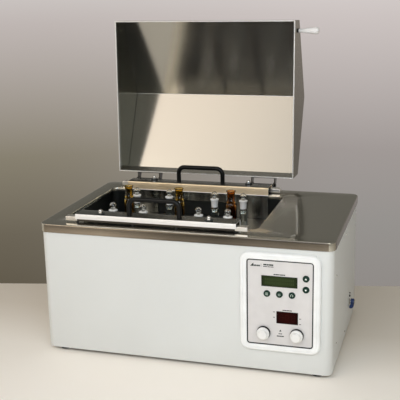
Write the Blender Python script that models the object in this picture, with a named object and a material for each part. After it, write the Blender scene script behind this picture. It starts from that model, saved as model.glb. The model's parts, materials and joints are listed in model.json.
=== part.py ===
"""Bench-top water bath: painted housing, steel tank, gable lid on rear hinges, lift-out tube rack.

Units are metres and +Z is up. Inside this script X = 0 and Y = 0 are the middle of the top deck
and Z = 0 is the table. The parent empty moves all of it so that the world origin is under the
middle of the whole object's box, with the lid open. The controls are at -Y.
"""

import math

import bmesh
import bpy
from mathutils import Matrix, Vector

# Driving dimensions
DECK_WIDTH, DECK_DEPTH = 0.600, 0.378
DECK_TOP = 0.276
DECK_SHEET = 0.0015
RIM_HEIGHT = 0.017
DECK_CORNER = 0.018
GAP = 0.0003  # between pieces that touch
FOOT_HEIGHT = 0.008

TANK_X = -0.063  # middle of the tank, towards the left
OPENING_WIDTH, OPENING_DEPTH = 0.408, 0.264
OPENING_CORNER = 0.014
OPENING_LIP = 0.008
TANK_SHEET = 0.0012
TANK_DEPTH = 0.185

HOUSING_INSET = 0.0025
HOUSING_SHEET = 0.0012
HOUSING_CORNER = 0.016
HOUSING_BOTTOM = FOOT_HEIGHT + GAP
HOUSING_TOP = DECK_TOP - DECK_SHEET - 0.001
HOUSING_FLANGE = 0.0085

LID_X = -0.062
LID_WIDTH, LID_LENGTH = 0.4255, 0.3545
LID_REAR_WALL, LID_FRONT_WALL = 0.0597, 0.0544
LID_RIDGE = 0.1345
LID_RIDGE_FROM_REAR = 0.1743
LID_SHEET = 0.0012
LID_REST_GAP = 0.0005
LID_REAR_Y = 0.1787  # outer face of the lid's rear wall when it is closed
LID_OPEN_ANGLE = math.radians(92)
PIN_Y, PIN_Z = 0.1974, DECK_TOP + 0.008
PIN_RADIUS = 0.003
HINGE_SPACING = 0.280
HINGE_WIDTH = 0.056

RACK_X = -0.061
RAIL_LENGTH = 0.335
RAIL_TOP = DECK_TOP + 0.018
RAIL_OUTER, RAIL_INNER = 0.166, 0.128  # distances of the rail's faces from Y = 0
RACK_SHEET = 0.0015
HANGER_LENGTH = 0.380
SHELF_Z = DECK_TOP - 0.150
TUBE_PLATE_Z = DECK_TOP - 0.056
HANDLE_SPAN, HANDLE_HEIGHT = 0.105, 0.0385
HANDLE_RADIUS, HANDLE_BEND = 0.005, 0.014
HANDLE_Y = 0.1515  # distance of the handles from Y = 0
HANDLE_SHIFT = 0.003  # the front handle sits this far to the left, the rear one to the right

STOPPERED_ROWS = ((-0.066, (-0.126, -0.058, 0.063, 0.125)), (0.066, (-0.122, -0.045, 0.060, 0.125)))
AMBER_COLUMNS = (-0.115, 0.0, 0.115)

PANEL_WALL_Y = -DECK_DEPTH / 2 + HOUSING_INSET  # outer face of the housing's front wall
BEZEL_X, BEZEL_Z = 0.1975, DECK_TOP - 0.1257
BEZEL_WIDTH, BEZEL_HEIGHT = 0.156, 0.1985
BEZEL_THICKNESS = 0.008
PANEL_WIDTH, PANEL_HEIGHT = 0.1265, 0.1700
PANEL_FRONT = PANEL_WALL_Y - 0.0055
PANEL_SHEET = 0.0052
LCD_X, LCD_Z, LCD_WIDTH, LCD_HEIGHT = 0.1965, DECK_TOP - 0.0818, 0.0690, 0.0215
LED_X, LED_Z, LED_WIDTH, LED_HEIGHT = 0.2118, DECK_TOP - 0.1535, 0.0415, 0.0246
BUTTON_RADIUS = 0.00625
BUTTONS = {
    "menu_button": (0.1726, DECK_TOP - 0.107),
    "select_button": (0.1968, DECK_TOP - 0.107),
    "start_button": (0.2208, DECK_TOP - 0.107),
    "up_button": (0.2472, DECK_TOP - 0.0720),
    "down_button": (0.2472, DECK_TOP - 0.0937),
}
KNOBS = {
    "left_knob": (0.1666, DECK_TOP - 0.1862),
    "right_knob": (0.2310, DECK_TOP - 0.1862),
}
KNOB_DEPTH = 0.016

VALVE_Y, VALVE_Z = 0.072, DECK_TOP - 0.212
VALVE_REACH = 0.0125  # how far the valve stands out from the side wall
VALVE_BORE, VALVE_RADIUS, SLEEVE_RADIUS = 0.0030, 0.0040, 0.0066
DRAIN_X = 0.100

INLET_X, INLET_Z = 0.225, DECK_TOP - 0.205
INLET_WIDTH, INLET_HEIGHT = 0.048, 0.030

SIDE_WALL_X = DECK_WIDTH / 2 - HOUSING_INSET
BACK_WALL_Y = DECK_DEPTH / 2 - HOUSING_INSET


def turned_back(offset_y, offset_z):
    """Where a point of the closed lid, given from the hinge pins, lies when the lid is open."""
    cos, sin = math.cos(LID_OPEN_ANGLE), math.sin(LID_OPEN_ANGLE)
    return PIN_Y + offset_y * cos + offset_z * sin, PIN_Z - offset_y * sin + offset_z * cos


LID_BACK_Y = turned_back(
    LID_REAR_Y - LID_RIDGE_FROM_REAR - PIN_Y, DECK_TOP + LID_REST_GAP + LID_RIDGE - PIN_Z
)[0]
KNOB_FRONT_Y = PANEL_FRONT - 0.0012 - KNOB_DEPTH
VALVE_END_X = SIDE_WALL_X + VALVE_REACH
ORIGIN_X = (VALVE_END_X - DECK_WIDTH / 2) / 2
ORIGIN_Y = (LID_BACK_Y + KNOB_FRONT_Y) / 2


# Scene and materials


def clear_scene():
    for obj in list(bpy.data.objects):
        bpy.data.objects.remove(obj, do_unlink=True)


def material(name, colour, roughness, metallic=0.0, alpha=1.0):
    made = bpy.data.materials.new(name)
    made.use_nodes = True
    shader = made.node_tree.nodes["Principled BSDF"]
    shader.inputs["Base Color"].default_value = (*colour, 1.0)
    shader.inputs["Roughness"].default_value = roughness
    shader.inputs["Metallic"].default_value = metallic
    shader.inputs["Alpha"].default_value = alpha
    made.diffuse_color = (*colour, alpha)
    return made


def place(name, bm, look, parent, location=(0, 0, 0), rotation=(0, 0, 0)):
    bmesh.ops.recalc_face_normals(bm, faces=bm.faces)
    mesh = bpy.data.meshes.new(name)
    bm.to_mesh(mesh)
    bm.free()
    mesh.shade_smooth()
    mesh.set_sharp_from_angle(angle=math.radians(35))
    obj = bpy.data.objects.new(name, mesh)
    obj.location = location
    obj.rotation_euler = rotation
    obj.parent = parent
    if look:
        mesh.materials.append(look)
    bpy.context.scene.collection.objects.link(obj)
    return obj


def empty(name, parent=None, location=(0, 0, 0), rotation=(0, 0, 0)):
    obj = bpy.data.objects.new(name, None)
    obj.location = location
    obj.rotation_euler = rotation
    obj.parent = parent
    bpy.context.scene.collection.objects.link(obj)
    return obj


def boolean(obj, bm, operation="DIFFERENCE", parent=None):
    """Cuts this mesh out of the object, or joins it on. The helper shares the object's parent."""
    helper = place(obj.name + "_helper", bm, None, parent or obj.parent, obj.location, obj.rotation_euler)
    helper.hide_render = True
    helper.display_type = "WIRE"
    modifier = obj.modifiers.new(operation.title(), "BOOLEAN")
    modifier.operation = operation
    modifier.solver = "EXACT"
    modifier.object = helper


# Shapes


def loft(loops, ring=False):
    """Skins closed loops of equal point counts. A ring joins its last loop to its first."""
    bm = bmesh.new()
    rows = [[bm.verts.new(point) for point in loop] for loop in loops]
    pairs = list(zip(rows, rows[1:]))
    if ring:
        pairs.append((rows[-1], rows[0]))
    else:
        bm.faces.new(rows[0])
        bm.faces.new(rows[-1])
    for low, high in pairs:
        for i in range(len(low)):
            j = (i + 1) % len(low)
            bm.faces.new((low[i], low[j], high[j], high[i]))
    return bm


def rounded(width, height, radius, steps=5):
    """Outline of a rounded rectangle about (0, 0)."""
    points = []
    for corner, (sx, sy) in enumerate(((1, 1), (-1, 1), (-1, -1), (1, -1))):
        for step in range(steps + 1):
            angle = math.radians(90) * (corner + step / steps)
            x = sx * (width / 2 - radius) + radius * math.cos(angle)
            y = sy * (height / 2 - radius) + radius * math.sin(angle)
            points.append((x, y))
    return points


def level(outline, z, x=0.0, y=0.0):
    return [Vector((x + u, y + v, z)) for u, v in outline]


def upright(outline, y, x=0.0, z=0.0):
    """The outline in a plane that faces the front."""
    return [Vector((x + u, y, z + v)) for u, v in outline]


def box(x, y, z):
    """A box from (low, high) pairs."""
    corners = ((x[0], y[0]), (x[1], y[0]), (x[1], y[1]), (x[0], y[1]))
    return loft([[Vector((u, v, w)) for u, v in corners] for w in z])


def extruded(outline, low, high, axis="X"):
    """An outline of two coordinates, drawn out along the third axis."""
    at = {
        "X": lambda u, v, w: Vector((w, u, v)),
        "Y": lambda u, v, w: Vector((u, w, v)),
        "Z": lambda u, v, w: Vector((u, v, w)),
    }[axis]
    return loft([[at(u, v, w) for u, v in outline] for w in (low, high)])


def turned(profile, segments=16, ring=False):
    """Revolves (radius, z) points about Z. Points at radius 0 become single vertices."""
    bm = bmesh.new()
    rows = []
    for radius, z in profile:
        if radius == 0:
            rows.append([bm.verts.new((0, 0, z))])
            continue
        angles = [math.tau * i / segments for i in range(segments)]
        rows.append([bm.verts.new((radius * math.cos(a), radius * math.sin(a), z)) for a in angles])
    pairs = list(zip(rows, rows[1:]))
    if ring:
        pairs.append((rows[-1], rows[0]))
    for low, high in pairs:
        if len(low) == len(high) == 1:
            continue
        for i in range(segments):
            j = (i + 1) % segments
            corners = [low[i % len(low)], low[j % len(low)], high[j % len(high)], high[i % len(high)]]
            bm.faces.new(list(dict.fromkeys(corners)))
    return bm


def arc(centre_r, centre_z, radius, start, end, steps):
    """Points on an arc of a turned profile, in degrees from the +radius direction."""
    points = []
    for step in range(steps + 1):
        angle = math.radians(start + (end - start) * step / steps)
        points.append((max(0.0, centre_r + radius * math.cos(angle)), centre_z + radius * math.sin(angle)))
    return points


def merged(*parts):
    """Copies several closed shapes into one mesh, for use as a Boolean helper."""
    bm = bmesh.new()
    for part in parts:
        bmesh.ops.recalc_face_normals(part, faces=part.faces)
        copy = bpy.data.meshes.new("part")
        part.to_mesh(copy)
        part.free()
        bm.from_mesh(copy)
        bpy.data.meshes.remove(copy)
    return bm


def moved(bm, offset=(0, 0, 0), turn=None):
    if turn:
        bmesh.ops.transform(bm, matrix=Matrix.Rotation(math.radians(turn[1]), 4, turn[0]), verts=bm.verts)
    bmesh.ops.translate(bm, vec=Vector(offset), verts=bm.verts)
    return bm


def bent_path(points, bend, steps=4):
    """A path through corner points, with a round bend at each inner one."""
    points = [Vector(point) for point in points]
    path = [points[0]]
    for before, corner, after in zip(points, points[1:], points[2:]):
        into, out = (corner - before).normalized(), (after - corner).normalized()
        half = into.angle(out) / 2
        cut = bend * math.tan(half)
        centre = corner + (out - into).normalized() * bend / math.cos(half)
        start, end = corner - into * cut - centre, corner + out * cut - centre
        for step in range(steps + 1):
            path.append(centre + bend * start.normalized().slerp(end.normalized(), step / steps))
    path.append(points[-1])
    return path


def swept(path, radius, segments=10, bore=None):
    """A round rod along a path in one plane, or a pipe when it has a bore radius."""
    normal = Vector((0, 0, 0))
    for before, here, after in zip(path, path[1:], path[2:]):
        normal = max(normal, (here - before).cross(after - here), key=lambda v: v.length)
    normal.normalize()

    def ring_at(index, size):
        back = path[max(index - 1, 0)]
        ahead = path[min(index + 1, len(path) - 1)]
        along = (ahead - back).normalized()
        side = along.cross(normal)
        angles = [math.tau * k / segments for k in range(segments)]
        return [path[index] + size * (math.cos(a) * side + math.sin(a) * normal) for a in angles]

    loops = [ring_at(i, radius) for i in range(len(path))]
    if bore:
        loops += [ring_at(i, bore) for i in reversed(range(len(path)))]
    return loft(loops, ring=bool(bore))


# Cabinet


def make_housing(look, root):
    width, depth = DECK_WIDTH - 2 * HOUSING_INSET, DECK_DEPTH - 2 * HOUSING_INSET

    def ring_at(inset, z):
        radius = max(HOUSING_CORNER - inset, 0.002)
        return level(rounded(width - 2 * inset, depth - 2 * inset, radius), z)

    bottom = HOUSING_BOTTOM
    obj = place(
        "housing",
        loft(
            [
                ring_at(0, HOUSING_TOP),
                ring_at(0, bottom + 0.0015),
                ring_at(0.0015, bottom),
                ring_at(HOUSING_FLANGE, bottom),
                ring_at(HOUSING_FLANGE, bottom + HOUSING_SHEET),
                ring_at(HOUSING_SHEET, bottom + HOUSING_SHEET),
                ring_at(HOUSING_SHEET, HOUSING_TOP),
            ],
            ring=True,
        ),
        look,
        root,
    )
    window = extruded(
        rounded(PANEL_WIDTH - 0.004, PANEL_HEIGHT - 0.004, 0.004, 2),
        PANEL_WALL_Y - 0.01,
        PANEL_WALL_Y + 0.01,
        "Y",
    )
    drain = moved(turned([(0, -0.02), (0.0060, -0.02), (0.0060, 0.02), (0, 0.02)]), turn=("Y", 90))
    vents = [
        box(
            (0.175 + 0.012 * i, 0.179 + 0.012 * i),
            (BACK_WALL_Y - 0.01, BACK_WALL_Y + 0.01),
            (DECK_TOP - 0.110, DECK_TOP - 0.050),
        )
        for i in range(8)
    ]
    inlet = box(
        (INLET_X - INLET_WIDTH / 2 + 0.002, INLET_X + INLET_WIDTH / 2 - 0.002),
        (BACK_WALL_Y - 0.01, BACK_WALL_Y + 0.01),
        (INLET_Z - INLET_HEIGHT / 2 + 0.002, INLET_Z + INLET_HEIGHT / 2 - 0.002),
    )
    boolean(
        obj,
        merged(
            moved(window, (BEZEL_X, 0, BEZEL_Z)),
            moved(drain, (SIDE_WALL_X, VALVE_Y, VALVE_Z)),
            *vents,
            inlet,
        ),
    )


def make_base_plate(look, root):
    inset = HOUSING_INSET + HOUSING_SHEET + GAP
    outline = rounded(DECK_WIDTH - 2 * inset, DECK_DEPTH - 2 * inset, HOUSING_CORNER - HOUSING_SHEET, 3)
    low = HOUSING_BOTTOM + HOUSING_SHEET + GAP
    obj = place("base_plate", extruded(outline, low, low + 0.0012, "Z"), look, root)
    holes = [
        moved(turned([(0, 0), (0.0036, 0), (0.0036, 0.01), (0, 0.01)], 10), (x, y, low - 0.005))
        for x, y in foot_places()
    ]
    boolean(obj, merged(*holes))


def foot_places():
    reach_x, reach_y = SIDE_WALL_X - 0.031, BACK_WALL_Y - 0.022
    return [(sx * reach_x, sy * reach_y) for sy in (-1, 1) for sx in (-1, 1)]


def make_feet(look, root):
    """Rubber feet, each with a stud that goes up through the base plate."""
    top = HOUSING_BOTTOM + HOUSING_SHEET
    profile = [(0, 0), (0.0105, 0), (0.0113, 0.0008), (0.0122, top), (0.003, top), (0.003, top + 0.009)]
    profile.append((0, top + 0.009))
    for name, (x, y) in zip(("front_left", "front_right", "rear_left", "rear_right"), foot_places()):
        place("foot_" + name, turned(profile, 16), look, root, (x, y, 0))


def make_deck(look, root):
    def outer(inset, z):
        size = DECK_WIDTH - 2 * inset, DECK_DEPTH - 2 * inset
        return level(rounded(*size, max(DECK_CORNER - inset, 0.002)), z)

    def opening(grow, z):
        size = OPENING_WIDTH + 2 * grow, OPENING_DEPTH + 2 * grow
        return level(rounded(*size, OPENING_CORNER + grow), z, TANK_X)

    top, under = DECK_TOP, DECK_TOP - DECK_SHEET
    loops = [
        opening(0.0015, top),
        outer(0.0022, top),
        outer(0.0006, top - 0.0006),
        outer(0, top - 0.0022),
        outer(0, top - RIM_HEIGHT),
        outer(DECK_SHEET, top - RIM_HEIGHT),
        outer(DECK_SHEET, under),
        opening(DECK_SHEET, under),
        opening(DECK_SHEET, top - OPENING_LIP),
        opening(0, top - OPENING_LIP),
        opening(0, top - 0.0015),
    ]
    place("top_deck", loft(loops, ring=True), look, root)


def make_tank(look, root):
    grow = DECK_SHEET + 0.0004
    top = DECK_TOP - DECK_SHEET - GAP
    floor = DECK_TOP - TANK_DEPTH

    def ring_at(extra, z, corner=None):
        size = OPENING_WIDTH + 2 * (grow + extra), OPENING_DEPTH + 2 * (grow + extra)
        return level(rounded(*size, corner or OPENING_CORNER + grow + extra), z, TANK_X)

    loops = [
        ring_at(-0.012, floor),
        ring_at(-0.0035, floor + 0.0035),
        ring_at(0, floor + 0.012),
        ring_at(0, top),
        ring_at(0.012, top),
        ring_at(0.012, top - TANK_SHEET),
        ring_at(TANK_SHEET, top - TANK_SHEET),
        ring_at(TANK_SHEET, floor + 0.012),
        ring_at(-0.0027, floor + 0.0027),
        ring_at(-0.012, floor - TANK_SHEET),
    ]
    obj = place("tank", loft(loops), look, root)
    drain = turned([(0, -0.01), (0.006, -0.01), (0.006, 0.01), (0, 0.01)], 12)
    boolean(obj, moved(drain, (DRAIN_X, VALVE_Y, floor)))


def tank_outside(extra):
    grow = DECK_SHEET + 0.0004 + TANK_SHEET + extra
    return OPENING_WIDTH + 2 * grow, OPENING_DEPTH + 2 * grow, OPENING_CORNER + grow


def make_under_tank(heater_look, jacket_look, probe_look, root):
    """Heating mat below the tank, insulating jacket round both, and the temperature probe."""
    floor = DECK_TOP - TANK_DEPTH - TANK_SHEET - GAP
    mat = extruded(rounded(0.330, 0.200, 0.010, 2), floor - 0.003, floor, "Z")
    pad = place("heating_mat", moved(mat, (TANK_X - 0.012, 0, 0)), heater_look, root)
    boolean(pad, box((DRAIN_X - 0.014, 0.2), (VALVE_Y - 0.014, 0.2), (floor - 0.01, floor + 0.01)))

    top = DECK_TOP - 0.020
    below = floor - 0.003 - GAP
    wall = 0.014
    loops = [
        level(rounded(*tank_outside(0.0005)), below, TANK_X),
        level(rounded(*tank_outside(0.0005)), top, TANK_X),
        level(rounded(*tank_outside(wall)), top, TANK_X),
        level(rounded(*tank_outside(wall)), below - wall, TANK_X),
    ]
    jacket = place("insulation_jacket", loft(loops), jacket_look, root)
    probe_x = TANK_X + tank_outside(0.0005)[0] / 2 + 0.0035
    drain = turned([(0, -0.05), (0.010, -0.05), (0.010, 0.02), (0, 0.02)], 12)
    slot = box((probe_x - 0.008, probe_x + 0.004), (-0.004, 0.004), (DECK_TOP - 0.12, DECK_TOP))
    boolean(jacket, merged(moved(drain, (DRAIN_X, VALVE_Y, below)), slot))
    probe = [(0, 0), (0.002, 0.0006), (0.0028, 0.002), (0.0028, 0.055)]
    probe += [(0.0016, 0.056), (0.0016, 0.085), (0, 0.085)]
    place("temperature_probe", turned(probe, 10), probe_look, root, (probe_x, 0, DECK_TOP - 0.115))


def make_inlet(look, root):
    """Mains inlet on the back wall: a flange and a body with an open socket."""
    flange = upright(rounded(INLET_WIDTH, INLET_HEIGHT, 0.003, 2), 0)
    body = upright(rounded(INLET_WIDTH - 0.005, INLET_HEIGHT - 0.005, 0.002, 2), 0)
    socket = upright(rounded(0.0245, 0.0170, 0.003, 2), 0)

    def at(loop, y):
        return [Vector((p.x + INLET_X, BACK_WALL_Y + y, p.z + INLET_Z)) for p in loop]

    loops = [
        at(socket, -0.014),
        at(socket, 0.003),
        at(flange, 0.003),
        at(flange, GAP),
        at(body, GAP),
        at(body, -0.020),
    ]
    place("mains_inlet", loft(loops), look, root)


# Control panel


def make_bezel(look, root):
    back = PANEL_WALL_Y - GAP
    front = PANEL_WALL_Y - BEZEL_THICKNESS

    def outer(inset, y):
        size = BEZEL_WIDTH - 2 * inset, BEZEL_HEIGHT - 2 * inset
        return upright(rounded(*size, 0.018 - inset), y, BEZEL_X, BEZEL_Z)

    def inner(grow, y):
        size = PANEL_WIDTH + 2 * grow, PANEL_HEIGHT + 2 * grow
        return upright(rounded(*size, 0.005 + grow), y, BEZEL_X, BEZEL_Z)

    loops = [
        outer(0, back),
        outer(0, front + 0.0048),
        outer(0.0016, front + 0.0014),
        outer(0.0050, front),
        inner(0.0016, front),
        inner(GAP, front + 0.0012),
        inner(GAP, back),
    ]
    place("control_bezel", loft(loops, ring=True), look, root)


def make_panel(look, root):
    outline = rounded(PANEL_WIDTH, PANEL_HEIGHT, 0.0048, 3)
    plate = moved(extruded(outline, PANEL_FRONT, PANEL_FRONT + PANEL_SHEET, "Y"), (BEZEL_X, 0, BEZEL_Z))
    obj = place("panel_plate", plate, look, root)
    cutters = []
    for x, z, width, height in (
        (LCD_X, LCD_Z, LCD_WIDTH, LCD_HEIGHT),
        (LED_X, LED_Z, LED_WIDTH, LED_HEIGHT),
    ):
        cutters.append(
            box(
                (x - width / 2 - GAP, x + width / 2 + GAP),
                (PANEL_FRONT - 0.01, PANEL_FRONT + 0.01),
                (z - height / 2 - GAP, z + height / 2 + GAP),
            )
        )
    holes = [(place_xz, BUTTON_RADIUS + 0.0004) for place_xz in BUTTONS.values()]
    holes += [(place_xz, 0.0038) for place_xz in KNOBS.values()]
    for (x, z), radius in holes:
        hole = turned([(0, -0.01), (radius, -0.01), (radius, 0.01), (0, 0.01)], 20)
        cutters.append(moved(hole, (x, PANEL_FRONT, z), turn=("X", 90)))
    boolean(obj, merged(*cutters))


def make_display(name, x, z, width, height, look, root):
    recessed = (PANEL_FRONT + 0.0004, PANEL_FRONT + 0.0024)
    sides = (x - width / 2, x + width / 2), recessed, (z - height / 2, z + height / 2)
    place(name, box(*sides), look, root)


def make_button(name, x, z, look, root):
    """A round cap that stands proud of the panel, with a wider foot behind it."""
    radius = BUTTON_RADIUS
    behind = PANEL_SHEET + GAP
    profile = [(0, 0.0022), (radius - 0.0012, 0.0022), (radius - 0.0003, 0.0018)]
    profile += [(radius, 0.0010), (radius, -behind)]
    profile += [(radius + 0.0012, -behind), (radius + 0.0012, -behind - 0.001), (0, -behind - 0.001)]
    place(name, turned(profile, 20), look, root, (x, PANEL_FRONT, z), (math.radians(90), 0, 0))


def make_knob(name, x, z, look, root):
    """A knob with a skirt in front of a collar, on a spindle that goes through the panel."""
    skirt, face, neck, depth = 0.0126, 0.0088, 0.0100, KNOB_DEPTH
    profile = [(0, depth), (face - 0.0014, depth), (face - 0.0003, depth - 0.0005), (face, depth - 0.0016)]
    profile += [(face + 0.0006, 0.0096), (skirt - 0.0008, 0.0088), (skirt, 0.0078), (skirt, 0.0052)]
    profile += [(neck, 0.0046), (neck, 0.0014), (skirt - 0.0004, 0.0014), (skirt - 0.0004, 0)]
    profile += [(0.0032, 0), (0.0032, -0.016), (0, -0.016)]
    place(name, turned(profile, 24), look, root, (x, PANEL_FRONT - 0.0012, z), (math.radians(90), 0, 0))


def make_board(look, root):
    """Circuit board behind the panel, with its tallest components."""
    back = PANEL_FRONT + 0.024
    plate = box((0.138, 0.257), (back, back + 0.0016), (DECK_TOP - 0.205, DECK_TOP - 0.048))
    obj = place("control_board", plate, look, root)
    blocks = merged(
        box((0.150, 0.182), (back + 0.0008, back + 0.028), (DECK_TOP - 0.195, DECK_TOP - 0.160)),
        box((0.205, 0.235), (back + 0.0008, back + 0.016), (DECK_TOP - 0.150, DECK_TOP - 0.135)),
        box((0.165, 0.228), (back - 0.006, back + 0.0008), (DECK_TOP - 0.093, DECK_TOP - 0.070)),
    )
    boolean(obj, blocks, "UNION")


# Drain


def make_drain(pipe_look, valve_look, lever_look, root):
    """Drain pipe, the valve at its end, and the lever that turns round the valve."""
    floor = DECK_TOP - TANK_DEPTH - TANK_SHEET - GAP
    inside = SIDE_WALL_X - 0.006
    corners = [(DRAIN_X, VALVE_Y, floor), (DRAIN_X, VALVE_Y, VALVE_Z), (inside - GAP, VALVE_Y, VALVE_Z)]
    place("drain_pipe", swept(bent_path(corners, 0.012), 0.0075, 12, 0.0055), pipe_look, root)

    # The valve's own Z axis points out of the side wall.
    behind_wall = -HOUSING_SHEET - GAP
    body = [(VALVE_BORE, -0.006), (0.0080, -0.006), (0.0080, behind_wall), (0.0055, behind_wall)]
    body += [(0.0055, GAP), (0.0068, GAP), (0.0068, 0.0014), (VALVE_RADIUS, 0.0018)]
    body += [(VALVE_RADIUS, VALVE_REACH - 0.0012), (VALVE_RADIUS + 0.0009, VALVE_REACH - 0.0009)]
    body += [(VALVE_RADIUS + 0.0007, VALVE_REACH), (VALVE_BORE, VALVE_REACH)]
    spot, sideways = (SIDE_WALL_X, VALVE_Y, VALVE_Z), (0, math.radians(90), 0)
    place("drain_valve", turned(body, 14, ring=True), valve_look, root, spot, sideways)

    # The lever is a sleeve on the valve with a tab, which hangs down when the valve is shut.
    inner, low, high = VALVE_RADIUS + GAP, 0.0020, VALVE_REACH - 0.0014
    sleeve = [(inner, low), (SLEEVE_RADIUS, low), (SLEEVE_RADIUS, high), (inner, high)]
    lever = place("drain_lever", turned(sleeve, 14, ring=True), lever_look, root, spot, sideways)
    tab = [(0.0052, low), (0.0052, high), (0.0125, high - 0.0016), (0.0152, 0.0078), (0.0160, 0.0055)]
    tab += [(0.0156, 0.0028), (0.0140, 0.0012), (0.0110, 0.0010)]
    boolean(lever, extruded(tab, -0.0026, 0.0026, "Y"), "UNION")


# Lid and hinges


def lid_point(x, from_rear, height):
    """A point of the closed lid, seen from the lid pivot's empty."""
    y = LID_REAR_Y - from_rear - PIN_Y
    z = DECK_TOP + LID_REST_GAP + height - PIN_Z
    return Vector((x, y, z))


def lid_section(inset):
    """The lid's end outline, moved in by the inset: rear rim, eaves, ridge, eaves, front rim."""
    rear_slope = math.atan2(LID_RIDGE - LID_REAR_WALL, LID_RIDGE_FROM_REAR)
    front_slope = math.atan2(LID_RIDGE - LID_FRONT_WALL, LID_LENGTH - LID_RIDGE_FROM_REAR)
    rear_drop = inset * (1 / math.cos(rear_slope) - math.tan(rear_slope))
    front_drop = inset * (1 / math.cos(front_slope) - math.tan(front_slope))
    ridge_drop = inset / math.cos((rear_slope + front_slope) / 2)
    return [
        (inset, 0.0),
        (inset, LID_REAR_WALL - rear_drop),
        (LID_RIDGE_FROM_REAR, LID_RIDGE - ridge_drop),
        (LID_LENGTH - inset, LID_FRONT_WALL - front_drop),
        (LID_LENGTH - inset, 0.0),
    ]


def make_lid(look, pivot):
    bm = bmesh.new()
    shells = []
    for inset in (0, LID_SHEET):
        left, right = LID_X - LID_WIDTH / 2 + inset, LID_X + LID_WIDTH / 2 - inset
        ends = [[bm.verts.new(lid_point(x, *p)) for p in lid_section(inset)] for x in (left, right)]
        for end in ends:
            bm.faces.new(end)
        for i in range(4):
            bm.faces.new((ends[0][i], ends[0][i + 1], ends[1][i + 1], ends[1][i]))
        shells.append([ends[0][0], ends[0][4], ends[1][4], ends[1][0]])
    for i in range(4):
        j = (i + 1) % 4
        bm.faces.new((shells[0][i], shells[0][j], shells[1][j], shells[1][i]))
    place("lid_shell", bm, look, pivot)


def make_lid_knob(look, pivot):
    """White tapered grip on the lid's right end, near its front edge."""
    profile = [(0, 0), (0.0070, 0), (0.0070, 0.0040), (0.0042, 0.0055), (0.0038, 0.0100), (0.0045, 0.0180)]
    profile += [(0.0062, 0.0290), (0.0080, 0.0385), (0.0080, 0.0425)]
    profile += [(0.0066, 0.0458), (0.0038, 0.0475), (0, 0.0480)]
    spot = lid_point(LID_X + LID_WIDTH / 2 + GAP, 0.3315, 0.0340)
    place("lid_knob", turned(profile, 16), look, pivot, spot, (0, math.radians(90), 0))


def make_hinge(side, x, look, pin_look, root, pivot):
    """Base with two ears on the rear rim, a pin through them, and the lid's bracket outside them."""
    half = HINGE_WIDTH / 2
    rim = DECK_DEPTH / 2 + GAP
    ear_low, ear_high = DECK_TOP - 0.012, DECK_TOP + 0.014
    base = place(
        f"hinge_base_{side}",
        box((x - half - 0.001, x + half + 0.001), (rim, rim + 0.002), (DECK_TOP - 0.015, DECK_TOP + 0.001)),
        look,
        root,
    )
    outline = [(rim + 0.0005, ear_low), (PIN_Y + 0.004, ear_low), (PIN_Y + 0.006, ear_low + 0.006)]
    outline += [(PIN_Y + 0.006, ear_high - 0.004), (PIN_Y + 0.002, ear_high), (rim + 0.004, ear_high)]
    outline += [(rim + 0.0005, ear_high - 0.006)]
    ear_in, ear_out = half - 0.0045, half - 0.0025
    ears = [extruded(outline, x - ear_out, x - ear_in), extruded(outline, x + ear_in, x + ear_out)]
    boolean(base, merged(*ears), "UNION")
    hole = turned([(0, -half), (PIN_RADIUS + GAP, -half), (PIN_RADIUS + GAP, half), (0, half)], 14)
    boolean(base, moved(hole, (x, PIN_Y, PIN_Z), turn=("Y", 90)))

    length = half + 0.002
    tip = length + 0.002
    head = PIN_RADIUS + 0.0012
    profile = [(0, -tip), (head, -tip), (head, -half - GAP), (PIN_RADIUS, -half - GAP)]
    profile += [(PIN_RADIUS, half + 0.0015), (PIN_RADIUS - 0.0008, length), (0, length)]
    spot, sideways = (x, PIN_Y, PIN_Z), (0, math.radians(90), 0)
    place(f"hinge_pin_{side}", turned(profile, 14), pin_look, root, spot, sideways)

    # The bracket is drawn for the closed lid, seen from the pins.
    wall = LID_REAR_Y + GAP - PIN_Y
    arm = [(wall, -0.0057), (0.0086, -0.0057), (0.0086, 0.004), (0.005, 0.0075), (wall, 0.018)]
    arm_in, arm_out = half - 0.002, half
    strap = box((x - half, x + half), (wall, wall + 0.002), (-0.002, 0.018))
    bracket = place(f"lid_bracket_{side}", strap, look, pivot)
    arms = [extruded(arm, x - arm_out, x - arm_in), extruded(arm, x + arm_in, x + arm_out)]
    boolean(bracket, merged(*arms), "UNION")
    bore = turned([(0, -0.04), (PIN_RADIUS + GAP, -0.04), (PIN_RADIUS + GAP, 0.04), (0, 0.04)], 14)
    boolean(bracket, moved(bore, (x, 0, 0), turn=("Y", 90)))


# Rack


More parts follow.
